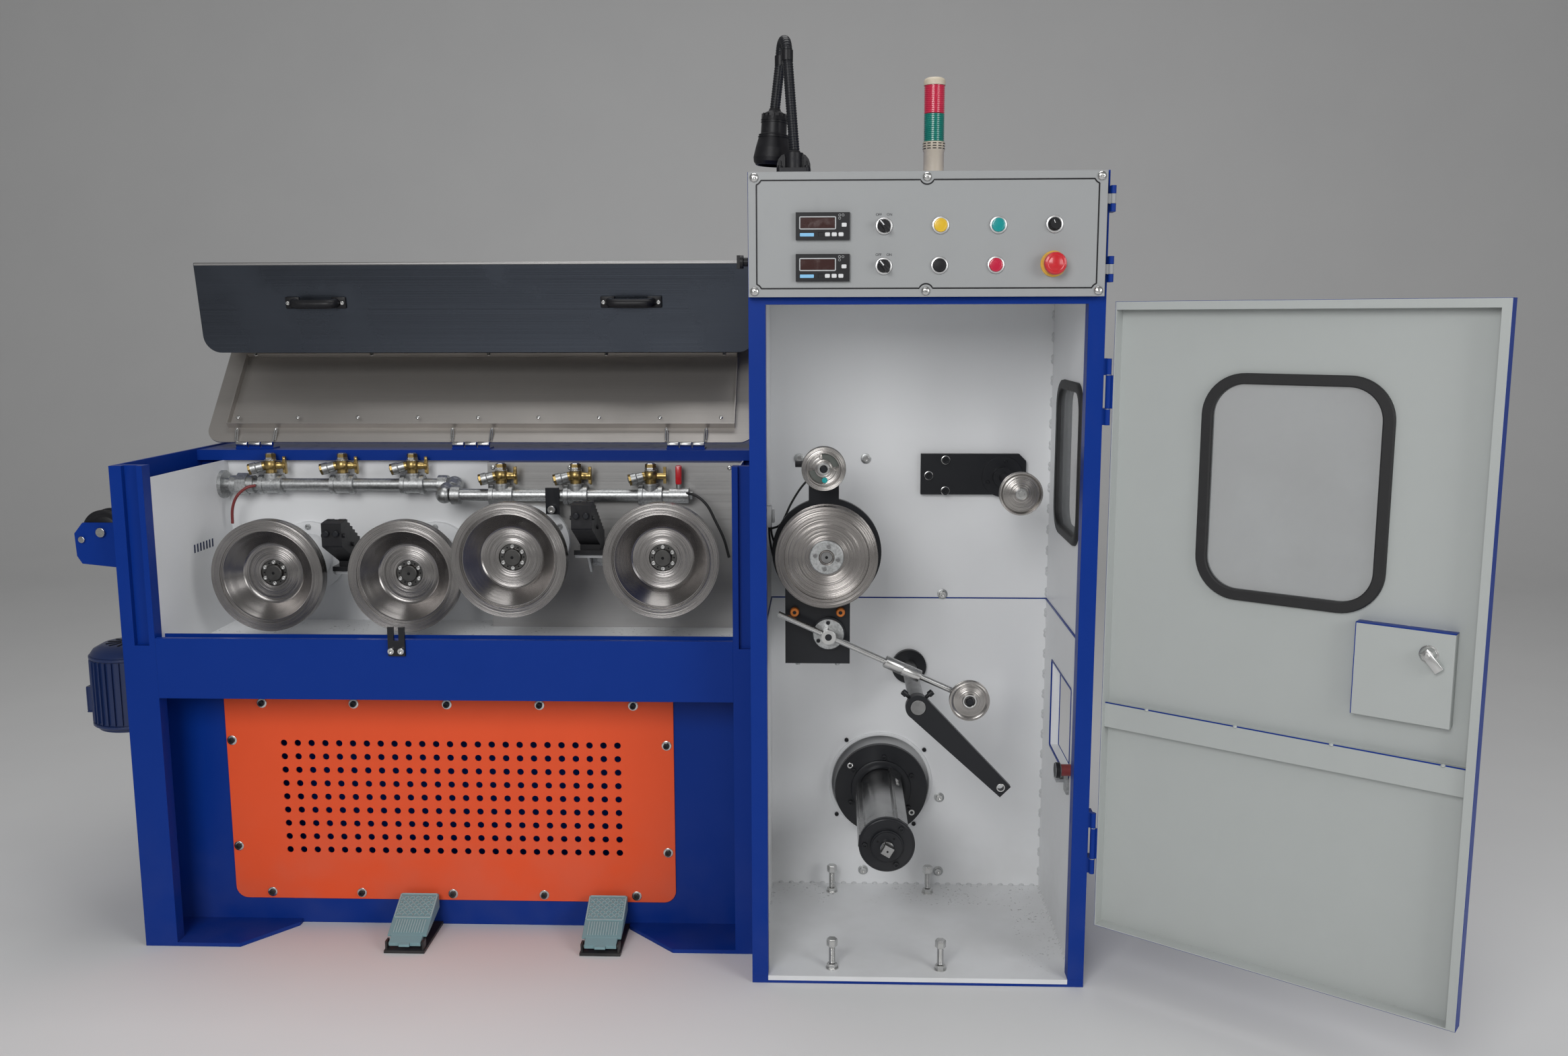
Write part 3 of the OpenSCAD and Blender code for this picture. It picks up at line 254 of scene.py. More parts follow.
@dataclass(frozen=True)
class Finish:
    """What one kind of surface looks like, and the record's material slot it belongs to."""

    name: str
    colour: Colour
    slot: str = ""

    def tint(self, gain: float, lift: float = 0.0) -> Colour:
        """The colour made darker or paler."""
        return tuple(min(1.0, c * gain + lift) for c in self.colour)

    def sockets(self, s: Shader) -> dict:
        """Builds the nodes.

        Args:
            s: The builder of the material.

        Returns:
            The surface's sockets with their values.
        """
        raise NotImplementedError

    def build(self, s: Shader) -> None:
        """Builds the whole material."""
        s.set(s.surface, self.sockets(s))


@functools.cache
def material(finish: Finish) -> bpy.types.Material:
    """The material of a finish, made once."""
    s = Shader(finish.name)
    finish.build(s)
    return s.material


@dataclass(frozen=True)
class Enamel(Finish):
    """Sprayed enamel or powder coat: orange peel, faint clouding, dust low down, flecks where told."""

    rough: float = 0.32
    coat: float = 0.25
    peel: float = 0.00004
    cloud: float = 0.08
    dust: float = 0.12
    edge: float = 0.0012
    shine: float = 0.5
    flecks: tuple[Box, ...] = ()

    def sockets(self, s: Shader) -> dict:
        cloud = s.noise(2.3, 3.0) * 0.7 + s.noise(17.0, 2.0) * 0.3
        smudge = s.noise(38.0, 4.0, (1, 1, 0.35)).bend(0.56, 0.72)
        low = s.parts(s.place)[2].bend(0.35, 0.0) * s.noise(9.0, 3.0).bend(0.3, 0.7)
        body = s.mix(cloud, self.tint(1 - self.cloud), self.tint(1 + self.cloud, 0.004))
        colour = s.mix(low * self.dust, body, (0.30, 0.28, 0.25))
        if self.flecks:
            spots = s.noise(150.0, 5.0, rough=0.65).bend(0.60, 0.66) * s.noise(11.0, 3.0).bend(0.42, 0.62)
            inside = s.within(s.drawn((0, 0), 0), self.flecks)
            colour = s.mix(spots * inside * 0.75, colour, (0.08, 0.075, 0.065))
        return {"Base Color": colour, "Roughness": smudge * 0.10 + (low * 0.2 + self.rough),
                "Coat Weight": self.coat, "Coat Roughness": 0.12, "Specular IOR Level": self.shine,
                "Normal": s.bump(s.noise(420.0, 2.0), self.peel, self.edge)}


@dataclass(frozen=True)
class Turned(Finish):
    """Lathe-turned steel: fine rings about an axis along Y, with wider tone rings."""

    centre: Pair = (0.0, 0.0)
    rough: float = 0.19
    tilt: float = 0.36
    stain: float = 0.35

    def sockets(self, s: Shader) -> dict:
        x, y, z = s.parts(s.place)
        dx, dz = x - self.centre[0], z - self.centre[1]
        out = s.vec("NORMALIZE", s.add("ShaderNodeCombineXYZ", {}, {0: dx, 1: 0.0, 2: dz}))
        reach = (dx * dx + dz * dz).root() + y
        tone = s.add("ShaderNodeTexNoise", {"noise_dimensions": "1D"},
                     {"W": reach * 260.0, "Scale": 1.0, "Detail": 3.0})
        stain = s.noise(16.0, 4.0).bend(0.35, 0.8)
        return {"Base Color": s.mix(tone * 0.5 + stain * 0.5, self.colour, self.tint(1 - self.stain)),
                "Metallic": 1.0, "Roughness": tone * 0.12 + self.rough,
                "Normal": s.grain(s.vec("ADD", out, (0.0, 1.0, 0.0)), reach, 0.0002, self.tilt)}


@dataclass(frozen=True)
class Brushed(Finish):
    """Sheet brushed along X, with finger marks."""

    rough: float = 0.22
    tilt: float = 0.10
    smear: float = 0.12

    def sockets(self, s: Shader) -> dict:
        _, y, z = s.parts(s.place)
        across = s.vec("NORMALIZE", s.vec("CROSS_PRODUCT", s.normal, (1.0, 0.0, 0.0)))
        lines = s.noise(900.0, 2.0, (0.01, 1, 1))
        marks = s.noise(7.0, 4.0).bend(0.42, 0.7)
        return {"Base Color": s.mix(lines * 0.6 + marks * 0.4, self.colour, self.tint(0.86)), "Metallic": 1.0,
                "Roughness": marks * self.smear + lines * 0.08 + self.rough,
                "Normal": s.grain(across, y * 0.83 + z, 0.00015, self.tilt)}


@dataclass(frozen=True)
class Metal(Finish):
    """Cast, plated or machined metal with a mottled skin."""

    rough: float = 0.36
    mottle: float = 0.2
    cell: float = 60.0
    bump: float = 0.00001
    edge: float = 0.0008

    def sockets(self, s: Shader) -> dict:
        spots = s.noise(self.cell, 4.0)
        return {"Base Color": s.mix(spots.bend(0.35, 0.7), self.colour, self.tint(1 - self.mottle)),
                "Metallic": 1.0, "Roughness": s.noise(self.cell * 0.4, 3.0) * 0.2 + (self.rough - 0.1),
                "Normal": s.bump(spots, self.bump, self.edge)}


@dataclass(frozen=True)
class Moulded(Finish):
    """Plastic or rubber: fine grain, faint scuffs."""

    rough: float = 0.45
    coat: float = 0.0
    glow: float = 0.0
    shine: float = 0.5

    def sockets(self, s: Shader) -> dict:
        scuff = s.noise(60.0, 4.0).bend(0.5, 0.8)
        return {"Base Color": s.mix(scuff * 0.6, self.colour, self.tint(1.25, 0.01)),
                "Roughness": scuff * 0.15 + self.rough, "Coat Weight": self.coat,
                "Specular IOR Level": self.shine, "Emission Color": self.colour, "Emission Strength": self.glow,
                "Normal": s.bump(s.noise(700.0, 2.0), 0.00003, 0.0008)}


@dataclass(frozen=True)
class Pane(Finish):
    """A clear pane with a little haze."""

    clear: float = 0.16

    def sockets(self, s: Shader) -> dict:
        haze = s.noise(5.0, 4.0).bend(0.4, 0.8)
        return {"Base Color": self.colour, "Roughness": haze * 0.08 + 0.04, "Alpha": haze * 0.10 + self.clear}


@dataclass(frozen=True)
class Zoned(Finish):
    """Two finishes on one part, the second inside some boxes of its drawing.

    The colour is only what a plain viewer shows; pivot and turn say how the drawing stands.
    """

    first: Optional[Finish] = None
    other: Optional[Finish] = None
    boxes: tuple[Box, ...] = ()
    pivot: Pair = (0.0, 0.0)
    turn: float = 0.0

    def build(self, s: Shader) -> None:
        self.first.build(s)
        s.second(s.within(s.drawn(self.pivot, self.turn), self.boxes), self.other.sockets(s))


FLOOR_FLECKS: Box = ((20, 330, None), (625, 443, 16))
SIDE_FLECKS: Box = ((540, 20, None), (625, 443, 16))
CHAMBER_FLECKS: Box = ((-1206, 250, None), (-42, 500, 612))

BLUE = Enamel("frame_blue_enamel", (0.0008, 0.030, 0.245), "frame_blue", rough=0.36, coat=0.0, dust=0.04,
              shine=0.14)
WHITE = Enamel("inner_white_enamel", (0.80, 0.81, 0.82), "inner_white", rough=0.42, coat=0.1, cloud=0.03)
FLECKED = Enamel("flecked_white_enamel", WHITE.colour, rough=0.42, coat=0.1, cloud=0.03,
                 flecks=(FLOOR_FLECKS, SIDE_FLECKS, CHAMBER_FLECKS))
# Weld dots' enamel, darker than the wall's white: painted shade that stands for the shading round each dot.
WELD = Enamel("painted_weld", (0.60, 0.61, 0.62), "inner_white", rough=0.4, coat=0.1, cloud=0.10)
DOOR_GREY = Enamel("door_inner_enamel", (0.44, 0.465, 0.455), "inner_white", rough=0.45, coat=0.05,
                   cloud=0.05)
PANEL_GREY = Enamel("panel_silver_enamel", (0.33, 0.34, 0.345), rough=0.5, coat=0.0, cloud=0.03)
BLACK_METAL = Enamel("black_oxide", (0.010, 0.011, 0.014), "black_metal", rough=0.36, coat=0.05, cloud=0.3,
                     shine=0.3)
ORANGE = Enamel("orange_enamel", (0.84, 0.092, 0.022), rough=0.42, coat=0.0, cloud=0.06, shine=0.3)
AQUA = Enamel("aqua_enamel", (0.19, 0.34, 0.37), "aqua", rough=0.45, coat=0.1, peel=0.00012)
AQUA_WORN = Enamel("worn_aqua_enamel", (0.34, 0.50, 0.52), "aqua", rough=0.4, coat=0.1)
MOTOR_BLUE = Enamel("motor_blue_enamel", (0.006, 0.022, 0.10), "motor_blue", rough=0.35, coat=0.2)
STAINLESS = Brushed("brushed_stainless", (0.36, 0.355, 0.35), "stainless", rough=0.40, tilt=0.05, smear=0.03)
LID_STEEL = Brushed("lid_stainless", (0.50, 0.475, 0.45), rough=0.46, tilt=0.04, smear=0.02)
# Dark blue-grey base colour: painted reflection of the blue beam and the shaded floor before the flap.
FLAP_STEEL = Brushed("polished_flap_steel", (0.085, 0.096, 0.118), rough=0.20, tilt=0.05)
ZINC = Metal("galvanised_zinc", (0.52, 0.53, 0.53), "zinc", rough=0.42, mottle=0.3, cell=260.0, bump=0.00002)
BRIGHT = Metal("bright_steel", (0.64, 0.64, 0.63), "steel", rough=0.27, mottle=0.05, cell=40.0, bump=0.000002)
SATIN = Metal("satin_bezel", (0.66, 0.66, 0.66), "steel", rough=0.40, mottle=0.05, cell=120.0, bump=0.000002)
DULL_STEEL = Metal("dull_steel", (0.13, 0.14, 0.13), "steel", rough=0.5, mottle=0.15, bump=0.000004)
DARK_STEEL = Metal("dark_steel", (0.11, 0.108, 0.105), "steel")
GREY_STEEL = Metal("grey_steel", (0.30, 0.30, 0.30), "steel")
SPINDLE_STEEL = Metal("spindle_steel", (0.42, 0.42, 0.42), rough=0.24, mottle=0.10, cell=30.0, bump=0.00005)
BRASS = Metal("machined_brass", (0.46, 0.33, 0.13), "brass", rough=0.34, mottle=0.25, cell=120.0,
              bump=0.00005)
RUBBER = Moulded("black_rubber", (0.012, 0.012, 0.013), "rubber", rough=0.6)
BROWN_RED = Moulded("brown_red_tube", (0.20, 0.03, 0.03), "rubber", rough=0.4)
CLEAR = Pane("clear_pane", (0.60, 0.63, 0.64), "rubber")
BLACK_PLASTIC = Moulded("black_plastic", (0.010, 0.010, 0.012), "black_plastic", rough=0.42, shine=0.3)
BEIGE_PLASTIC = Moulded("beige_plastic", (0.60, 0.53, 0.41), "beige_plastic")
GREY_PLASTIC = Moulded("pale_grey_plastic", (0.46, 0.47, 0.48), "button_plastic", rough=0.4)
DISPLAY = Moulded("display_maroon", (0.045, 0.016, 0.014), "button_plastic", rough=0.12, coat=0.5)
PALE_BLUE = Moulded("pale_blue_strip", (0.22, 0.52, 0.80), "button_plastic", rough=0.4)
WHITE_PLASTIC = Moulded("white_plastic", (0.72, 0.73, 0.74), "button_plastic", rough=0.35)
YELLOW_LENS = Moulded("yellow_button", (0.78, 0.50, 0.03), "button_plastic", rough=0.25, coat=0.4)
TEAL_LENS = Moulded("teal_button", (0.005, 0.30, 0.30), "button_plastic", rough=0.25, coat=0.4)
RED_BUTTON = Moulded("red_button", (0.55, 0.01, 0.05), "button_plastic", rough=0.25, coat=0.4)
YELLOW_RING = Moulded("yellow_ring", (0.72, 0.42, 0.06), "button_plastic", rough=0.4)
ORANGE_SLEEVE = Moulded("orange_sleeve", (0.55, 0.16, 0.02), "orange", rough=0.5)
GREEN_LENS = Moulded("green_lens", (0.008, 0.22, 0.17), "green_lens", rough=0.18, coat=0.6)
RED_LENS = Moulded("red_lens", (0.50, 0.022, 0.06), "red_lens", rough=0.18, coat=0.6, glow=0.15)
STOP_RED = Moulded("stop_red", (0.58, 0.012, 0.02), "stop_red", rough=0.3, coat=0.3)
SLOT_BLUE = Moulded("slot_shadow_blue", (0.003, 0.014, 0.075), "frame_blue", rough=0.7)
HOLE_DARK = Moulded("hole_shadow", (0.004, 0.004, 0.005), "black_metal", rough=0.9)

TURNED_PALE: Colour = (0.46, 0.44, 0.42)
TURNED_MID: Colour = (0.34, 0.32, 0.305)
# Cone steel, darker than the pulleys' steel: painted shade of the shaded drawing chamber.
TURNED_CHAMBER_SHADE: Colour = (0.34, 0.325, 0.315)


class Body(Enum):
    """The bodies that pieces ride on."""

    MACHINE = "machine"
    DOOR = "door"
    PANEL = "panel"
    LID = "lid"
    FLAP = "flap"
    CAPSTAN = "capstan"
    SENSOR = "sensor"
    DANCER = "dancer"
    DANCER_WHEEL = "dancer_wheel"
    TRAVERSE = "traverse"
    ARM = "arm"
    SPINDLE = "bobbin_spindle"
    PEDAL_LEFT = "pedal_left"
    PEDAL_RIGHT = "pedal_right"
    ROLLER = "roller"
    CONE_1 = "cone_1"
    CONE_2 = "cone_2"
    CONE_3 = "cone_3"
    CONE_4 = "cone_4"


def register(name: str, mesh: bpy.types.Mesh, body: Body, finish: Finish,
             replaces: Sequence[str] = ()) -> None:
    """Links a mesh as a piece.

    Args:
        name: The piece's name.
        mesh: Its mesh, in the row frame.
        body: The body it rides on.
        finish: Its finish.
        replaces: CAD nodes that the piece stands for.
    """
    mesh.materials.clear()
    mesh.materials.append(material(finish))
    made = bpy.data.objects.new(name, mesh)
    bpy.context.collection.objects.link(made)
    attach(made, body.value)
    if replaces:
        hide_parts(*replaces)
    LOG.info("piece %s on %s, %d faces", name, body.value, len(mesh.polygons))


class Shape:
    """Gathers solids in millimetres and becomes one piece; each way to add a solid returns the shape.

    Args:
        body: The body that the piece rides on.
        place: The matrix from the drawing to the row frame.
    """

    WELD = 1e-4
    SHARP = 32.0

    def __init__(self, body: Body = Body.MACHINE, place: Matrix = CORNER) -> None:
        self.bm = bmesh.new()
        self.body = body
        self.place = place

    def loft(self, rings: Sequence[Sequence[Point]], loop: bool = False) -> "Shape":
        """Skins rings of equally many points; the ends are capped, or joined by loop."""
        made = [[self.bm.verts.new(p) for p in ring] for ring in rings]
        count = len(made[0])
        for i in range(len(made) if loop else len(made) - 1):
            a, b = made[i], made[(i + 1) % len(made)]
            for j in range(count):
                k = (j + 1) % count
                self.bm.faces.new((a[j], a[k], b[k], b[j]))
        if not loop:
            self.bm.faces.new(reversed(made[0]))
            self.bm.faces.new(made[-1])
        return self

    def box(self, low: Point, high: Point, bevel: float = 0.0, turn: Matrix = FLAT) -> "Shape":
        """A box between two corners, with its edges rounded."""
        size, middle = Vector(high) - Vector(low), (Vector(high) + Vector(low)) / 2
        place = turn @ Matrix.Translation(middle) @ Matrix.Diagonal((*size, 1.0))
        made = bmesh.ops.create_cube(self.bm, size=1.0, matrix=place)["verts"]
        if bevel:
            edges = list(dict.fromkeys(e for v in made for e in v.link_edges))
            bmesh.ops.bevel(self.bm, geom=edges, offset=bevel, segments=2, affect="EDGES", profile=0.5)
        return self

    def turned(self, at: Point, profile: Sequence[Pair], sides: int = 40, axis: str = "Y",
               lift: Matrix = FLAT) -> "Shape":
        """Revolves a closed profile of (radius, depth) about an axis through a point."""
        rings = []
        for i in range(sides):
            c, s = math.cos(math.tau * i / sides), math.sin(math.tau * i / sides)
            offsets = [{"X": (d, r * c, r * s), "Y": (r * c, d, r * s), "Z": (r * c, r * s, d)}[axis]
                       for r, d in profile]
            rings.append([lift @ (Vector(at) + Vector(offset)) for offset in offsets])
        return self.loft(rings, loop=True)

    def rod(self, at: Point, radius: float, length: float, ease: float, sides: int,
            axis: str = "Y") -> "Shape":
        """A round bar from a point, with its ends eased."""
        return self.turned(at, [(0, 0), (radius - ease, 0), (radius, ease), (radius, length - ease),
                                (radius - ease, length), (0, length)], sides, axis)

    def tube(self, points: Sequence[Point], radius: float | Sequence[float], sides: int = 12) -> "Shape":
        """A round bar that follows points; the radius may differ from point to point."""
        path = [Vector(p) for p in points]
        radii = [radius] * len(path) if isinstance(radius, (int, float)) else radius
        side = Vector((0.3, 0.5, 0.81))
        rings = []
        for i, p in enumerate(path):
            ahead = (path[min(i + 1, len(path) - 1)] - path[max(i - 1, 0)]).normalized()
            side = (side - ahead * side.dot(ahead)).normalized()
            other = ahead.cross(side)
            rings.append([p + radii[i] * (math.cos(a) * side + math.sin(a) * other)
                          for a in (math.tau * k / sides for k in range(sides))])
        return self.loft(rings)

    def band(self, path: Sequence[Pair], section: Sequence[Pair], lift: Matrix) -> "Shape":
        """Carries a section of (outward, height) round a closed flat path, which runs anticlockwise."""
        rings = []
        for i, p in enumerate(path):
            run = Vector(path[(i + 1) % len(path)]) - Vector(path[i - 1])
            out = Vector((run.y, -run.x)).normalized()
            rings.append([lift @ Vector((p[0] + u * out.x, p[1] + u * out.y, v)) for u, v in section])
        return self.loft(rings, loop=True)

    def stack(self, layers: Iterable[tuple[Sequence[Pair], float]], lift: Matrix) -> "Shape":
        """A solid through flat outlines, each at its own height above the plane."""
        return self.loft([[lift @ Vector((x, y, height)) for x, y in outline] for outline, height in layers])

    def slab(self, outline: Sequence[Pair], low: float, high: float, lift: Matrix) -> "Shape":
        """An outline in its own plane given a thickness."""
        return self.stack([(outline, low), (outline, high)], lift)

    def mesh(self, name: str) -> bpy.types.Mesh:
        """Closes the shape into a mesh in the row frame."""
        bmesh.ops.remove_doubles(self.bm, verts=self.bm.verts, dist=self.WELD)
        bmesh.ops.transform(self.bm, matrix=self.place, verts=self.bm.verts)
        bmesh.ops.recalc_face_normals(self.bm, faces=self.bm.faces)
        mesh = bpy.data.meshes.new(name)
        self.bm.to_mesh(mesh)
        self.bm.free()
        mesh.shade_smooth()
        mesh.set_sharp_from_angle(angle=math.radians(self.SHARP))
        return mesh

    def piece(self, name: str, finish: Finish, slot: str = "", replaces: Sequence[str] = ()) -> None:
        """Makes the shape a piece of the machine; the arguments are those of register."""
        register(name, self.mesh(name), self.body, finish, replaces)


def rounded(width: float, height: float, radius: float, steps: int, centre: Pair = (0.0, 0.0)) -> list[Pair]:
    """Points of a rectangle with round corners, anticlockwise."""
    points = []
    for quarter, (sx, sy) in enumerate(((1, 1), (-1, 1), (-1, -1), (1, -1))):
        cx = centre[0] + sx * (width / 2 - radius)
        cy = centre[1] + sy * (height / 2 - radius)
        for i in range(steps + 1):
            a = math.pi / 2 * (quarter + i / steps)
            points.append((cx + radius * math.cos(a), cy + radius * math.sin(a)))
    return points


def smooth_path(*points: Point, steps: int = 8) -> list[Vector]:
    """A Catmull-Rom curve through points."""
    p = [Vector(q) for q in points]
    p = [p[0] * 2 - p[1], *p, p[-1] * 2 - p[-2]]
    out = []
    for i in range(1, len(p) - 2):
        for t in (k / steps for k in range(steps)):
            out.append(0.5 * (2 * p[i] + (p[i + 1] - p[i - 1]) * t
                              + (2 * p[i - 1] - 5 * p[i] + 4 * p[i + 1] - p[i + 2]) * t * t
                              + (3 * p[i] - p[i - 1] - 3 * p[i + 1] + p[i + 2]) * t ** 3))
    return [*out, p[-2]]


def spaced(low: float, high: float, step: float) -> list[float]:
    """Numbers from low to high at about a step."""
    count = max(1, round((high - low) / step))
    return [low + (high - low) * i / count for i in range(count + 1)]


def turns(count: int, start: float = 0.0) -> list[float]:
    """Evenly spaced angles of a whole turn, in degrees."""
    return [start + 360 * i / count for i in range(count)]


def facing(points: Iterable[Point], way: Point = FRONT) -> list[Place]:
    """Points with the way that each faces."""
    return [(point, way) for point in points]


def ring(at: Point, radius: float, angles: Iterable[float]) -> list[Place]:
    """Places round a circle whose plane faces the front."""
    return facing((at[0] + radius * math.cos(a), at[1], at[2] + radius * math.sin(a))
                  for a in map(math.radians, angles))


class Pattern(Enum):
    """Small parts that are repeated: their turned solids, as (sides, profile) at a head radius of 1.

    Each stands on z = 0 and faces +Z.
    """

    CAP = ((18, ((0, 0.42), (0.48, 0.42), (0.5, 0.95), (0.9, 0.95), (1, 0.85), (1, 0), (0, 0))),)
    DOME = ((20, (*((math.sin(a), 0.12 + 0.5 * math.cos(a)) for a in (0, 0.4, 0.8, 1.2, 1.571)), (1, 0),
                  (0, 0))),)
    BUTTON = ((18, ((0, 0.18), (0.36, 0.18), (0.38, 0.55), (0.6, 0.55), (0.9, 0.36), (1, 0), (0, 0))),)
    HEX = ((20, ((0, 0), (1.15, 0), (1.15, 0.15), (0, 0.15))),
           (6, ((0, 0.1), (1, 0.1), (1, 0.7), (0.88, 0.8), (0, 0.8))))
    WELD_DOT = ((10, ((0, 0.5), (0.5, 0.42), (0.85, 0.22), (1, 0), (0, -0.1))),)
    HOLE = ((14, ((0, 0.03), (0.9, 0.03), (1, 0), (0, -0.05))),)
    WASHER = ((24, ((0.55, 0), (1, 0), (1, 0.1), (0.94, 0.14), (0.55, 0.14))),)

    def shape(self) -> Shape:
        """Draws the part."""
        shape = Shape(place=Matrix.Scale(MM, 4))
        for sides, profile in self.value:
            shape.turned((0, 0, 0), profile, sides, "Z")
        if self is Pattern.DOME:
            for angle in (0, 90):
                shape.box((-0.45, -0.07, 0.5), (0.45, 0.07, 0.66), 0.0, posed((0, 0, 0), angle, "Z"))
        return shape


CAP, DOME, BUTTON, HEX, WELD_DOT, HOLE, WASHER = Pattern


class Copies:
    """Geometry Nodes that set one small part at many places, each facing its own way."""

    SEED = 7
    SHARP = 35.0
    INPUTS = {"Places": "Geometry", "Pattern": "Object", "Size": "Float", "Seed": "Int", "Finish": "Material"}
    _patterns: dict[Pattern, bpy.types.Object] = {}

    @classmethod
    @functools.cache
    def tree(cls) -> bpy.types.NodeTree:
        """Builds the node tree once."""
        tree = bpy.data.node_groups.new("copies", "GeometryNodeTree")
        for name, kind in cls.INPUTS.items():
            tree.interface.new_socket(name=name, in_out="INPUT", socket_type=f"NodeSocket{kind}")
        tree.interface.new_socket(name="Geometry", in_out="OUTPUT", socket_type="NodeSocketGeometry")

        def node(kind: str, settings: dict, links: dict) -> bpy.types.NodeOutputs:
            """Adds a node with its settings, and links or values by input."""
            made = tree.nodes.new(kind)
            for key, value in settings.items():
                setattr(made, key, value)
            for key, value in links.items():
                if isinstance(value, bpy.types.NodeSocket):
                    tree.links.new(value, made.inputs[key])
                else:
                    made.inputs[key].default_value = value
            return made.outputs

        given = node("NodeGroupInput", {}, {})
        part = node("GeometryNodeObjectInfo", {}, {"Object": given["Pattern"]})["Geometry"]
        way = node("GeometryNodeInputNamedAttribute", {"data_type": "FLOAT_VECTOR"}, {"Name": "facing"})
        aim = node("FunctionNodeAlignRotationToVector", {"axis": "Z"}, {"Vector": way["Attribute"]})
        spin = node("FunctionNodeRandomValue", {"data_type": "FLOAT"},
                    {2: 0.0, 3: math.tau, "Seed": given["Seed"]})
        twist = node("FunctionNodeAxisAngleToRotation", {}, {"Axis": (0.0, 0.0, 1.0), "Angle": spin[1]})
        turn = node("FunctionNodeRotateRotation", {"rotation_space": "LOCAL"},
                    {"Rotation": aim[0], "Rotate By": twist[0]})
        put = node("GeometryNodeInstanceOnPoints", {}, {"Points": given["Places"], "Instance": part,
                                                        "Rotation": turn[0], "Scale": given["Size"]})
        real = node("GeometryNodeRealizeInstances", {}, {"Geometry": put[0]})
        dress = node("GeometryNodeSetMaterial", {}, {"Geometry": real[0], "Material": given["Finish"]})
        node("NodeGroupOutput", {}, {"Geometry": dress[0]})
        return tree

    @classmethod
    def put(cls, name: str, pattern: Pattern, size: float, finish: Finish, places: Sequence[Place],
            body: Body = Body.MACHINE, slot: str = "", matrix: Matrix = CORNER) -> None:
        """Sets copies of a pattern.

        Args:
            name: The piece's name.
            pattern: What is repeated.
            size: Radius of the pattern's head, in millimetres.
            finish: The copies' finish.
            places: Points and the way each copy faces, in the matrix's drawing.
            body: The body that the copies ride on.
            slot: Meant as their material slot, where it isn't the finish's own; not used.
            matrix: From the drawing to the row frame.
        """
        if pattern not in cls._patterns:
            cls._patterns[pattern] = bpy.data.objects.new(pattern.name, pattern.shape().mesh(pattern.name))
        mesh = bpy.data.meshes.new(name)
        mesh.from_pydata([matrix @ Vector(point) for point, _ in places], [], [])
        ways = mesh.attributes.new("facing", "FLOAT_VECTOR", "POINT")
        turn = matrix.to_3x3()
        for entry, (_, way) in zip(ways.data, places):
            entry.vector = (turn @ Vector(way)).normalized()
        holder = bpy.data.objects.new(f"{name}_places", mesh)
        bpy.context.collection.objects.link(holder)
        modifier = holder.modifiers.new("copies", "NODES")
        modifier.node_group = cls.tree()
        given = {"Pattern": cls._patterns[pattern], "Size": size, "Seed": cls.SEED,
                 "Finish": material(finish)}
        for socket in cls.tree().interface.items_tree:
            if socket.name in given and socket.in_out == "INPUT":
                modifier[socket.identifier] = given[socket.name]
        graph = bpy.context.evaluated_depsgraph_get()
        made = bpy.data.meshes.new_from_object(holder.evaluated_get(graph))
        bpy.data.objects.remove(holder)
        made.set_sharp_from_angle(angle=math.radians(cls.SHARP))
        register(name, made, body, finish)

    @classmethod
    def clear(cls) -> None:
        """Removes the patterns once every copy is made."""
        for source in cls._patterns.values():
            bpy.data.objects.remove(source)
        cls._patterns.clear()


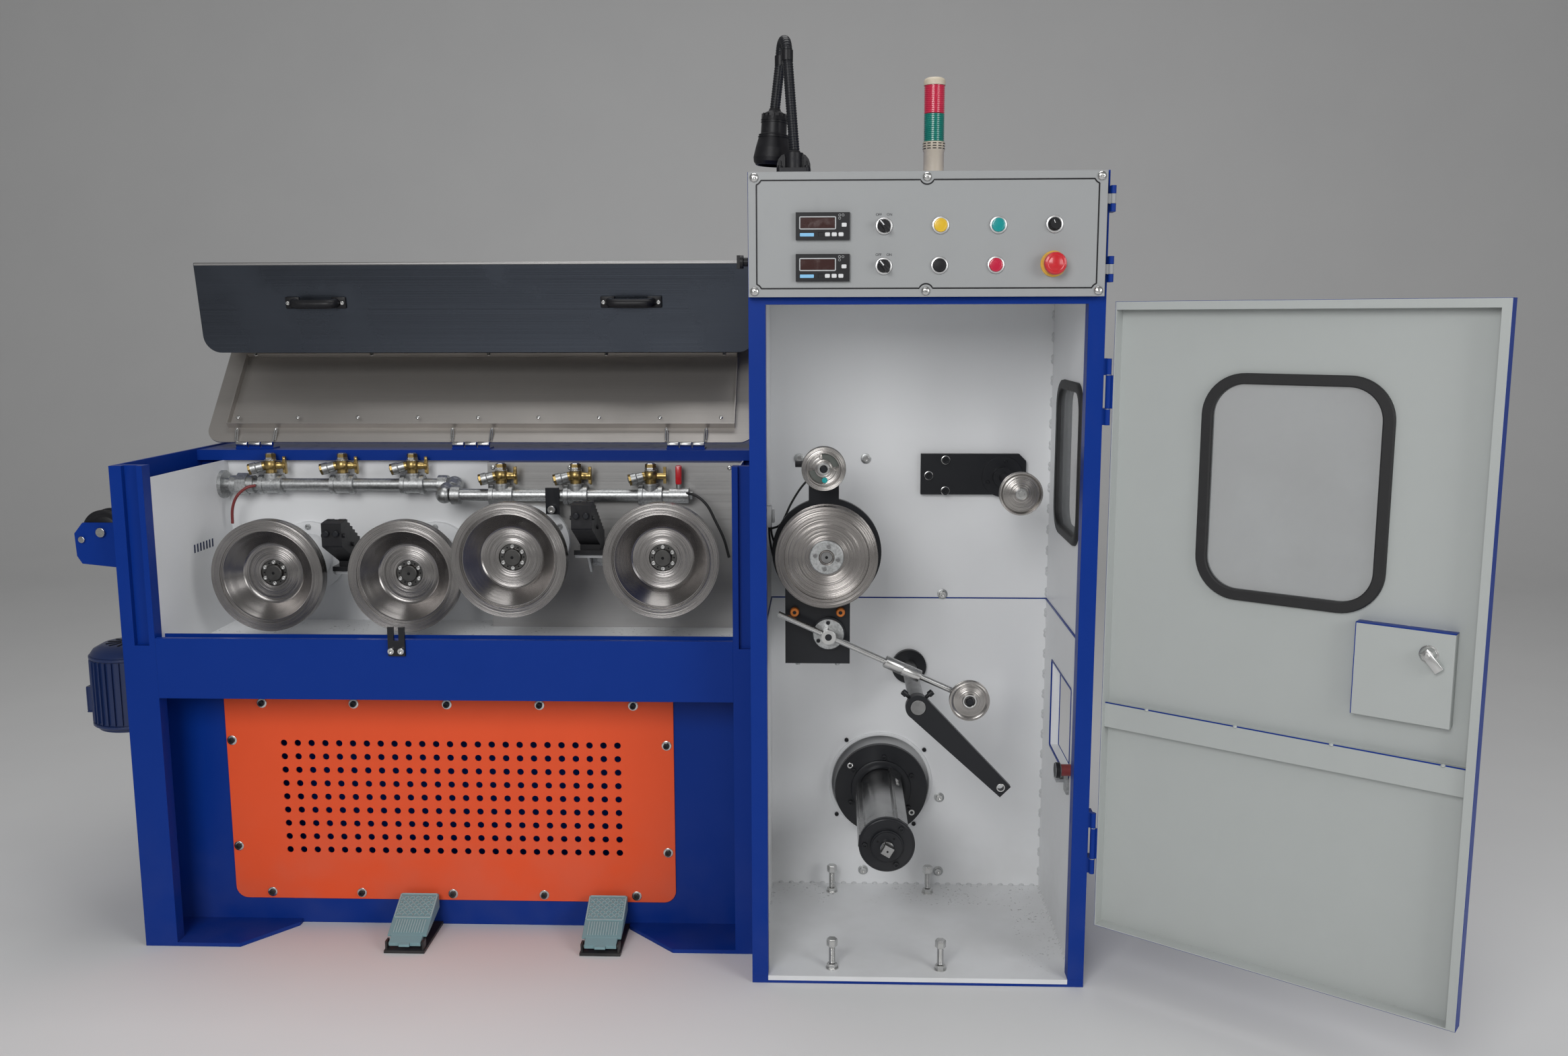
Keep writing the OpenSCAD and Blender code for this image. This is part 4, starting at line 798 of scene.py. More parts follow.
@dataclass
class Dressing:
    """Gives every CAD node its finish."""

    inside: Box = ((2, 31, 15), (643, 444, 1324))
    floor: tuple[Box, ...] = (((20, 3, 14.5), (625, 443, 16)), ((31, None, 5.5), (614, 3.1, 16)))
    door_inside: Box = ((5.6, -32.4, 132.6), (644.4, None, 1317.4))
    door_hinge: Pair = (653.0, -3.0)
    door_angle: float = 143.4
    recess: Box = ((100, 440, 100), (430, 520, 420))
    spindle_ends: tuple[Box, ...] = (((None, 61, None), (None, 83.5, None)),
                                     ((None, 394, None), (None, 410, None)))
    shafts: Box = ((307, 100, 509), (343, 429, 545))
    pins: tuple[Box, ...] = (((-1334, 150, 855), (-1314, 167.5, 875)),
                             ((-1371, 150, 844), (-1359, 167.5, 856)))
    clamp: Box = ((-467, 380, 868), (-435, 397.5, 932))
    chamber: Box = ((-1206, 160, 600), (-42, 500, 612))

    def plain(self) -> dict[Finish, tuple[str, ...]]:
        """Nodes that show one finish."""
        return {
            BLUE: ("cab_posts", "control_box", "body_left_end", "body_right_end", "front_beam",
                   "drive_housing", "top_cover"),
            WHITE: ("cab_back_wall", "cone_bearings"),
            BLACK_METAL: ("latch_fork", "pedal_bases", "capstan_bracket", "spool_arm"),
            BLACK_PLASTIC: ("box_lock", "panel_meters", "panel_controls", "gooseneck_lamp", "entry_roller",
                            "flap_handles", "die_holders"),
            RUBBER: ("side_window", "door_window"), ZINC: ("anchor_bolts", "side_latch", "left_manifold"),
            STAINLESS: ("bearing_plate",), LID_STEEL: ("lid_plate",), FLAP_STEEL: ("flap_plate",),
            PANEL_GREY: ("control_panel",), ORANGE: ("vent_cover",), AQUA: ("left_pedal", "right_pedal"),
            BRASS: ("spray_valves",), MOTOR_BLUE: ("side_motor",), BEIGE_PLASTIC: ("tower_stem",),
            GREEN_LENS: ("tower_green",), RED_LENS: ("tower_red",), STOP_RED: ("panel_stop",),
            BRIGHT: ("dancer_arm",)}

    def zones(self) -> dict[Finish, tuple[str, ...]]:
        """Nodes that show two finishes."""
        def zoned(name: str, first: Finish, other: Finish, *boxes: Box, shown: Finish = BLUE,
                  pivot: Pair = (0.0, 0.0), turn: float = 0.0) -> Zoned:
            """Two finishes under one name."""
            return Zoned(name, shown.colour, "", first, other, boxes, pivot, turn)

        return {
            zoned("cabinet_wall", BLUE, WHITE, self.inside): ("cab_left_wall", "cab_right_wall", "cab_roof"),
            zoned("cabinet_floor", BLUE, FLECKED, *self.floor, shown=WHITE): ("cab_base",),
            zoned("door_two_tone", BLUE, DOOR_GREY, self.door_inside, shown=DOOR_GREY, pivot=self.door_hinge,
                  turn=self.door_angle): ("cab_door", "door_lock"),
            zoned("housing_two_tone", BLUE, WHITE, self.recess): ("rear_housing",),
            zoned("spindle_two_tone", SPINDLE_STEEL, BLACK_METAL, *self.spindle_ends,
                  shown=BRIGHT): ("spindle",),
            zoned("support_two_tone", BLACK_METAL, GREY_STEEL, self.shafts,
                  shown=BLACK_METAL): ("take_up_supports",),
            zoned("entry_two_tone", BLUE, BRIGHT, *self.pins): ("entry_bracket",),
            zoned("chamber_lining_paint", WHITE, FLECKED, self.chamber, shown=WHITE): ("chamber_lining",),
            zoned("manifold_two_tone", ZINC, BLACK_METAL, self.clamp, shown=ZINC): ("right_manifold",)}

    def turned(self) -> dict[Finish, tuple[str, ...]]:
        """Wheels with a finish turned about their own axis."""
        # The cones take the darker steel, which paints the chamber's shade.
        colours = {**{f"drawing_cone_{i}": TURNED_CHAMBER_SHADE for i in range(1, 5)}, "finish_capstan": TURNED_MID,
                   **dict.fromkeys(("sensor_pulley", "traverse_pulley", "dancer_pulley"), TURNED_PALE)}
        groups = {}
        for node, colour in colours.items():
            low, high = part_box(node)
            middle = ((low[0] + high[0]) / 2, (low[2] + high[2]) / 2)
            groups[Turned(f"{node}_turned", colour, centre=middle)] = (node,)
        return groups

    def run(self) -> None:
        """Assigns the finishes."""
        for finish, nodes in {**self.plain(), **self.zones(), **self.turned()}.items():
            for node in nodes:
                slots = frame["nodes"][node].data.materials
                slots.clear()
                slots.append(material(finish))


@dataclass
class Cabinet:
    """Take-up cabinet: welds, wall bolts, window, hatch, wire guide and levelling bolts."""

    left: float = 20.0
    right: float = 625.0
    back: float = 443.0
    floor: float = 15.0
    join: Pair = (679.0, 682.0)
    bolts: tuple[Pair, ...] = ((82, 988), (227, 988), (397, 689), (397, 222), (227, 48), (397, 47))
    recess: Pair = (264.0, 257.0)
    window: Pair = (210.5, 1008.0)
    hatch: Pair = (230.0, 472.0)
    stop: Pair = (88.0, 410.0)
    feet: tuple[Pair, ...] = ((156, 36), (156, 398), (370, 36), (370, 398))

    def welds(self) -> None:
        """Spot welds along the wall's corners and the floor's edges."""
        side, back, low = self.right - 0.5, self.back - 0.5, self.floor + 0.5
        rows = facing([(side, back, z + s) for z in spaced(45, 1290, 46) for s in (0, 9)], (-0.7, -0.7, 0))
        rows += facing([(x, back, low) for x in spaced(40, 610, 24)], (0, -0.7, 0.7))
        rows += facing([(side, y, low) for y in spaced(45, 425, 21)], (-0.7, 0, 0.7))
        rows += facing([(self.left + 0.5, y, low) for y in spaced(45, 425, 48)], (0.7, 0, 0.7))
        # The dots' darker enamel paints their shading.
        Copies.put("corner_welds", WELD_DOT, 6.2, WELD, rows)

    def wall(self) -> None:
        """Bolts with washers, the ring round the spindle's recess, and blue seams where the walls join."""
        for name, pattern, size, finish, rise, slot in (
                ("wall_washers", WASHER, 11.2, ZINC, 0.0, WHITE.slot),
                ("wall_bolts", CAP, 7.4, BRIGHT, 1.2, "")):
            Copies.put(name, pattern, size, finish, facing([(x, self.back - rise, z) for x, z in self.bolts]),
                       slot=slot)
        at = (self.recess[0], self.back, self.recess[1])
        Shape().turned(at, [(108.5, 0.4), (108.5, -4.2), (110, -5.4), (114.5, -5.4), (116, -4.2), (116, 0.4)],
                       96).piece("recess_ring", WHITE)
        Copies.put("ring_screws", CAP, 4.6, BLACK_METAL, ring(at, 124, turns(4, 38)))
        low, high = self.join
        seams = Shape().box((self.left, self.back + 0.6, low), (self.right, self.back + 2.4, high), 0.3)
        for x in (self.right - 2.0, self.left - 0.5):
            seams.box((x, 32, low - 2), (x + 2.5, self.back, high), 0.4)
        seams.piece("wall_joint_lines", BLUE)

    def side(self) -> None:
        """The side window's rubber and pane, and the hatch's painted edge and stop button."""
        at = plane((self.right, *self.window), FRONT)
        profile = [(-5, -22), (-5, 5), (-3, 7), (9, 7.5), (13, 5.5), (14, 0), (0, 0), (0, -20), (13, -20),
                   (11, -23.5), (-3, -24)]
        Shape().band(rounded(246, 288, 45, 10), profile, at).piece("side_window_rubber", RUBBER,
                                                                   replaces=("side_window",))
        Shape().slab(rounded(244, 286, 44, 10), -4.6, -0.4, at).piece("side_window_pane", CLEAR)
        edge = [(-0.6, -1.5), (-0.6, 1.2), (3.4, 1.2), (3.4, 0), (0, 0), (0, -1.5)]
        Shape().band(rounded(236, 186, 3, 2), edge, plane((self.right, *self.hatch), FRONT)).piece(
            "hatch_edge", BLUE)
        collar = [(11.2, 0), (11.6, -1), (11.6, -20), (10, -21.5), (0, -21.5), (0, 0)]
        Shape().turned((self.right, *self.stop), collar, 36, "X").piece("hatch_button_collar", BROWN_RED,
                                                                        STOP_RED.slot)
        button = [(0, 0), (13.4, 0), (15.3, 1.4), (15.3, 9.6), (13.6, 10.8), (0, 10.8)]
        Shape().turned((self.right - 32.3, *self.stop), button, 36, "X").piece("hatch_button", BLACK_PLASTIC,
                                                                               DISPLAY.slot)

    def guide(self) -> None:
        """Pale wire guide on the left wall."""
        block = Shape().box((self.left - 0.5, 172, 878), (33, 200, 920), 2.0)
        block.box((33, 180, 886), (39, 192, 912), 1.5).piece("wire_guide", GREY_PLASTIC, BEIGE_PLASTIC.slot)

    def levelling(self) -> None:
        """Washer, nut, threaded rod and head of each levelling bolt."""
        teeth = [p for z in spaced(26, 61, 1.75) for p in ((5.6, z), (6.4, z + 0.87))]
        solids = ((28, [(0, 14.6), (12.6, 14.6), (12.6, 16.8), (0, 16.8)]),
                  (6, [(0, 16.8), (10.6, 16.8), (10.6, 24.4), (9.6, 25.5), (0, 25.5)]),
                  (20, [(0, 25.3), *teeth, (0, 62.4)]),
                  (6, [(0, 61.5), (9.8, 61.5), (10.9, 62.6), (10.9, 75.4), (9.8, 77), (0, 77)]))
        bolts = Shape()
        for x, y in self.feet:
            for sides, profile in solids:
                bolts.turned((x, y, 0), profile, sides, "Z")
        bolts.piece("levelling_bolts", BRIGHT, ZINC.slot, ("anchor_bolts",))

    def run(self) -> None:
        """Builds the cabinet's details."""
        for step in (self.welds, self.wall, self.side, self.guide, self.levelling):
            step()


@dataclass
class Door:
    """Cabinet door: window, latch, lock and painted lines; drawn closed."""

    hinge: Point = (653.0, -3.0, 0.0)
    angle: float = 143.4
    skin: float = -30.0
    window: Pair = (325.0, 997.0)
    knob: Pair = (87.0, 754.0)
    stiffener: float = 573.0
    hinge_heights: Pair = (296.0, 1156.0)

    def run(self) -> None:
        """Builds the door's details."""
        place = CORNER @ posed(self.hinge, self.angle, "Z") @ Matrix.Translation(self.hinge).inverted()

        def shape() -> Shape:
            """An empty shape on the door."""
            return Shape(Body.DOOR, place)

        at = plane((self.window[0], self.skin, self.window[1]), (-1, 0, 0))
        profile = [(-5, -5.5), (-4, -6.6), (12, -6.6), (14, -5), (14, -3), (0, -3), (0, 0), (14, 0), (14, 6),
                   (12, 8), (-3, 8), (-5, 6.5)]
        shape().band(rounded(292, 368, 60, 12), profile, at).piece("door_window_rubber", RUBBER,
                                                                   replaces=("door_window",))
        shape().slab(rounded(291, 367, 59.5, 12), -2.6, -0.3, at).piece("door_window_pane", CLEAR)
        (shape().box((8, -15.5, self.stiffener - 0.2), (642, -13.6, self.stiffener + 2.0), 0.4)
         .box((48.6, -30, 790.6), (201.4, -8.6, 792.2), 0.5).box((200.6, -30, 636), (202, -8.6, 792), 0.4)
         .piece("door_blue_lines", BLUE))
        x, z = self.knob
        plate = [(0, -9.5), (15, -9.5), (15, -8), (12.6, -6.5), (12.6, -3), (9, 2.8), (0, 2.8)]
        (shape().turned((x, 0, z), plate, 36)
         .box((-7.8, -1.6, -31), (7.8, 4.2, 9), 2.0, posed((x, 0, z), 40, "Y"))
         .rod((x, 3.6, z), 4.4, 2.0, 0.5, 6).piece("door_cam_latch", BRIGHT, ZINC.slot))
        lock = [(0, -12.6), (11.6, -12.6), (13.4, -11), (13.4, -2), (16, -1), (16, 0), (0, 0)]
        shape().turned((x, -33, z), lock, 36).piece("door_lock_face", BRIGHT, ZINC.slot)
        dots = facing([(px, -14.0, self.stiffener + 1.0) for px in (55, 230, 395, 560)], (0, 0.6, 0.8))
        dots += facing([(px, self.skin, 790.5) for px in (70, 125, 180)], (0, 0.8, 0.6))
        Copies.put("door_welds", WELD_DOT, 4.0, DOOR_GREY, dots, Body.DOOR, matrix=place)
        caps = shape()
        for middle in self.hinge_heights:
            for end in (-31.4, 30.2):
                caps.rod((*self.hinge[:2], middle + end), 5.6, 1.2, 0.3, 24, "Z")
        caps.piece("door_hinge_washers", ZINC)


@dataclass
class Panel:
    """Control panel: border, screws, counters, selectors, buttons and knobs."""

    face: float = -22.0
    top: float = 1546.0
    left: float = 2.0
    right: float = 637.0
    bottom: float = 1327.0
    inset: float = 15.0
    notch: float = 13.0
    selectors: tuple[Pair, ...] = ((244, 95), (244, 165))
    lit: tuple[tuple[str, Finish, Pair], ...] = (
        ("yellow", YELLOW_LENS, (344, 94)), ("black", BLACK_PLASTIC, (343, 164)),
        ("teal", TEAL_LENS, (446, 94)), ("red", RED_BUTTON, (443, 163.5)))
    speed: Pair = (545, 93)
    stop: Pair = (545, 162)

    def at(self, spot: Pair) -> Point:
        """The point on the face at an X and a drop from the top."""
        return (spot[0], self.face, self.top - spot[1])

    def screws(self) -> list[Pair]:
        """Places of the six dome screws, anticlockwise from the top right."""
        low, high = self.bottom + 10, self.top - 10
        near, middle, far = self.left + 11, (self.left + self.right) / 2, self.right - 11
        return [(far, high), (middle, high), (near, high), (near, low), (middle, low), (far, low)]

    def border(self) -> list[Pair]:
        """A line inside the plate's edge that bows in round each screw."""
        path = []
        arcs = (("down", "left"), ("right", "left"), ("right", "down"), ("up", "right"), ("left", "right"),
                ("left", "up"))
        centre = ((self.left + self.right) / 2, (self.bottom + self.top) / 2)
        for (x, z), ends in zip(self.screws(), arcs):
            dx = (self.right - self.inset if x > centre[0] else self.left + self.inset) - x
            dz = (self.top - self.inset if z > centre[1] else self.bottom + self.inset) - z
            along = math.sqrt(self.notch ** 2 - dz ** 2)
            across = math.sqrt(max(0.0, self.notch ** 2 - dx ** 2))
            legs = {"right": (along, dz), "left": (-along, dz), "up": (dx, across), "down": (dx, -across)}
            a0, a1 = (math.atan2(legs[end][1], legs[end][0]) for end in ends)
            if a1 > a0:
                a1 -= math.tau
            path += [(x + self.notch * math.cos(a), z + self.notch * math.sin(a))
                     for a in (a0 + (a1 - a0) * i / 10 for i in range(11))]
        return path

    def plate(self) -> None:
        """Border line and dome screws."""
        line = [(-1.3, 0), (1.3, 0), (1.3, 0.35), (-1.3, 0.35)]
        flat = plane((0, self.face, 0))
        Shape(Body.PANEL).band(self.border(), line, flat).piece("panel_border", BLACK_PLASTIC)
        Copies.put("panel_screws", DOME, 8.2, BRIGHT,
                   facing([(x, self.face, z) for x, z in self.screws()]), Body.PANEL)

    def counters(self) -> None:
        """Displays, frames, keys and strips of the two counters."""
        dot = [(-0.35, 0), (0.35, 0), (0.35, 0.25), (-0.35, 0.25)]
        key_layers = ((9, 7, -1), (9, 7, 1), (7.8, 5.8, 1.7))
        glass, frames, keys, strips = (Shape(Body.PANEL) for _ in range(4))
        for drop in (95, 167.5):
            flat = plane((135, self.face - 8, self.top - drop))
            glass.slab(rounded(61, 18.4, 1.0, 3, (-9, 5.5)), -1.9, -0.9, flat)
            frames.band(rounded(63.5, 21, 1.5, 3, (-9, 5.5)), [(-1, 0), (1, 0), (1, 0.7), (-1, 0.7)], flat)
            for lamp in ((30, 19), (30, 13.5), (36, 19)):
                frames.band(rounded(4, 4, 1.99, 4, lamp), dot, flat)
            for key in ((8.5, -14.5), (20.5, -14.5), (32.5, -14.5), (38, 2)):
                keys.stack([(rounded(w, d, 1.6, 3, key), h) for w, d, h in key_layers], flat)
            strips.slab(rounded(25, 6, 1, 2, (-28, -15)), -0.2, 0.35, flat)
        glass.piece("counter_displays", DISPLAY)
        frames.piece("counter_frames", GREY_PLASTIC)
        keys.piece("counter_keys", WHITE_PLASTIC)
        strips.piece("counter_strips", PALE_BLUE)

    def buttons(self) -> None:
        """Selectors, lit buttons, speed knob and stop button."""
        bezel = [(10.8, 0), (15.6, 0), (15.6, -2.4), (14.8, -4.0), (12.4, -4.6), (11.0, -4.0), (10.8, -3)]
        cap = [(0, 0), (10.9, 0), (10.9, -4.7), (12.1, -4.9), (12.1, -6.4), (11.2, -7.5), (9.4, -7.9),
               (8.8, -7.5), (5, -7.9), (0, -8.1)]
        grip_layers = ((8.6, 27, 5), (8, 26, 18), (6.4, 24, 21.5))
        chrome, blacks, pointers = (Shape(Body.PANEL) for _ in range(3))
        for spot in (*self.selectors, *(spot for _, _, spot in self.lit), self.speed):
            chrome.turned(self.at(spot), bezel, 40)
        for spot in self.selectors:
            blacks.turned(self.at(spot), [(0, 0), (10.9, 0), (10.9, -7), (9.8, -9), (0, -9)], 36)
            turn = posed(self.at(spot), -40, "Y")
            blacks.stack([(rounded(w, d, 3.4, 4), h) for w, d, h in grip_layers], turn @ plane((0, 0, 0)))
            pointers.box((-1.1, -22.0, 1.0), (1.1, -20.8, 11.6), 0.3, turn)
        for name, finish, spot in self.lit:
            Shape(Body.PANEL).turned(self.at(spot), cap, 40).piece(f"push_button_{name}", finish,
                                                                   DISPLAY.slot)
        knob = [(0, 0), (10.9, 0), (10.9, -6), (9.4, -7), (9.2, -11.6), (8.2, -13), (0, -13)]
        blacks.turned(self.at(self.speed), knob, 40)
        for angle in turns(20):
            blacks.box((8.6, -11.6, -0.5), (9.9, -7.4, 0.5), 0.15, posed(self.at(self.speed), angle, "Y"))
        pointers.box((-0.6, -13.4, 1.5), (0.6, -12.8, 7.5), 0.15, posed(self.at(self.speed), -20, "Y"))
        chrome.piece("control_bezels", SATIN, replaces=("panel_controls",))
        blacks.piece("control_knobs", BLACK_PLASTIC)
        pointers.piece("control_pointers", WHITE_PLASTIC)
        base = [(0, 0), (23, 0), (23, -2.5), (21.5, -4), (13, -4), (0, -4)]
        head = [(0, -2), (12, -2), (12, -16), (18.6, -17), (20, -19), (20, -25), (18.6, -28.6), (15, -30),
                (13.6, -29.2), (12.4, -29.2), (11, -30), (0, -30.4)]
        Shape(Body.PANEL).turned(self.at(self.stop), base, 48).piece("stop_ring", YELLOW_RING)
        Shape(Body.PANEL).turned(self.at(self.stop), head, 56).piece("stop_head", STOP_RED,
                                                                     replaces=("panel_stop",))

    def words(self) -> None:
        """OFF and ON over the selectors."""
        for number, (x, drop) in enumerate(self.selectors, 1):
            for word, dx in (("OFF", -9.5), ("ON", 9.5)):
                text = bpy.data.curves.new("word", "FONT")
                text.body, text.size, text.extrude, text.align_x = word, 6.2, 0.12, "CENTER"
                holder = bpy.data.objects.new("word", text)
                bpy.context.collection.objects.link(holder)
                mesh = bpy.data.meshes.new_from_object(holder)
                bpy.data.objects.remove(holder)
                mesh.transform(CORNER @ plane((x + dx, self.face - 0.1, self.top - drop + 18)))
                register(f"word_{word.lower()}_{number}", mesh, Body.PANEL, BLACK_PLASTIC)

    def run(self) -> None:
        """Builds the panel."""
        for step in (self.plate, self.counters, self.buttons, self.words):
            step()


@dataclass
class Tower:
    """Signal tower with ribbed lenses and a slotted stem."""

    foot: Point = (339.0, 100.0, 0.0)
    base: float = 1548.0
    radius: float = 20.0
    stem: float = 62.0
    lens: float = 50.0
    ribs: int = 14

    def ribbed(self, low: float, high: float) -> Shape:
        """A lens with rings round it."""
        pitch = (high - low) / self.ribs
        body = [(self.radius - 1 - d, low + pitch * (i + f)) for i in range(self.ribs)
                for f, d in ((0.1, 1.1), (0.35, 0.0), (0.75, 0.0), (0.95, 1.1))]
        return Shape().turned(self.foot, [(0, low), *body, (0, high)], 40, "Z")

    def run(self) -> None:
        """Builds the tower."""
        r, base = self.radius, self.base
        first, second = base + self.stem, base + self.stem + self.lens
        top = second + self.lens + 0.4
        self.ribbed(first, second).piece("tower_lens_green", GREEN_LENS, replaces=("tower_green",))
        self.ribbed(second + 0.2, top).piece("tower_lens_red", RED_LENS, replaces=("tower_red",))
        stem = [(0, base), (r, base), (r, base + 3), (r - 1.2, base + 4), (r - 1.2, first - 18),
                (r, first - 16), (r, first), (0, first)]
        cap = [(0, top), (r, top), (r, top + 8), (r - 2, top + 11.5), (r - 6, top + 13.8), (0, top + 14.4)]
        (Shape().turned(self.foot, stem, 48, "Z").turned(self.foot, cap, 48, "Z")
         .piece("tower_shell", BEIGE_PLASTIC, replaces=("tower_stem",)))
        slots = Shape()
        for z in (first - 13.4 + 4.6 * row for row in range(3)):
            for angle in turns(12):
                slots.box((r - 0.6, -3.4, z), (r + 0.25, 3.4, z + 1.8), 0.2, posed(self.foot, angle, "Z"))
        slots.piece("tower_vents", HOLE_DARK, BLACK_PLASTIC.slot)


@dataclass
class Lamp:
    """Gooseneck lamp: coiled near leg, rings on the head, fins on the base."""

    foot: Point = (80.0, 100.0, 1548.0)
    neck: tuple[Point, ...] = ((82, 100, 1588), (68, 104, 1770), (54, 158, 1770), (43, 160, 1680))
    radius: float = 9.0
    pitch: float = 1.15

    def coil(self) -> None:
        """The neck's coils along two straight legs and an arch."""
        a, b, c, d = (Vector(p) for p in self.neck)
        middle, half, side = (b + c) / 2, (c - b).length / 2, (b - c).normalized()
        arch = [middle + side * half * math.cos(t) + Vector((0, 0, half * math.sin(t)))
                for t in (math.pi * i / 40 for i in range(41))]
        path = [a.lerp(b, i / 60) for i in range(60)] + arch + [c.lerp(d, i / 30) for i in range(1, 31)]
        run = [0.0]
        for p, q in zip(path, path[1:]):
            run.append(run[-1] + (q - p).length)
        steps = int(run[-1] / self.pitch)
        points, radii, k = [], [], 0
        for i in range(steps + 1):
            reach = run[-1] * i / steps
            while k < len(run) - 2 and run[k + 1] < reach:
                k += 1
            points.append(path[k].lerp(path[k + 1], (reach - run[k]) / max(run[k + 1] - run[k], 1e-6)))
            radii.append(self.radius + (0.9 if i % 4 in (1, 2) else 0.15))
        Shape().tube(points, radii, 20).piece("lamp_coil", BLACK_METAL)

    def head(self) -> None:
        """Rings and fins round the head."""
        rings = Shape(place=CORNER @ posed(self.neck[3], 3, "Y"))
        for r, z in ((24.9, -22), (24.9, -26), (27.9, -49), (28.9, -53)):
            rings.turned((0, 0, 0), [(r - 1.2, z), (r + 0.5, z + 0.3), (r + 0.5, z + 1.5),
                                     (r - 1.2, z + 1.8)], 56, "Z")
        for angle in turns(12):
            rings.box((20, -0.8, -20), (24.6, 0.8, -9), 0.4, posed((0, 0, 0), angle, "Z"))
        rings.piece("lamp_head_rings", BLACK_PLASTIC)

    def base(self) -> None:
        """Fins, knobs and collar on the foot."""
        fins = Shape(place=CORNER @ Matrix.Translation(self.foot))
        for x in range(-24, 25, 8):
            fins.box((x - 1, -11.5, 3), (x + 1, 11.5, 30 if abs(x) > 20 else 38), 0.6)
        knob = [(0, 19.4), (2, 19.4), (2.2, 21), (4.2, 20.4), (5, 16), (0, 16)]
        for x in (-25, 25):
            fins.turned((x, -15, 0), knob, 20, "Z")
        fins.turned((0, 0, 0), [(13, 40), (13, 45), (11.5, 48), (9.2, 49), (9.2, 40)], 32, "Z")
        fins.piece("lamp_base_fins", BLACK_PLASTIC)

    def run(self) -> None:
        """Builds the lamp's details."""
        for step in (self.coil, self.head, self.base):
            step()


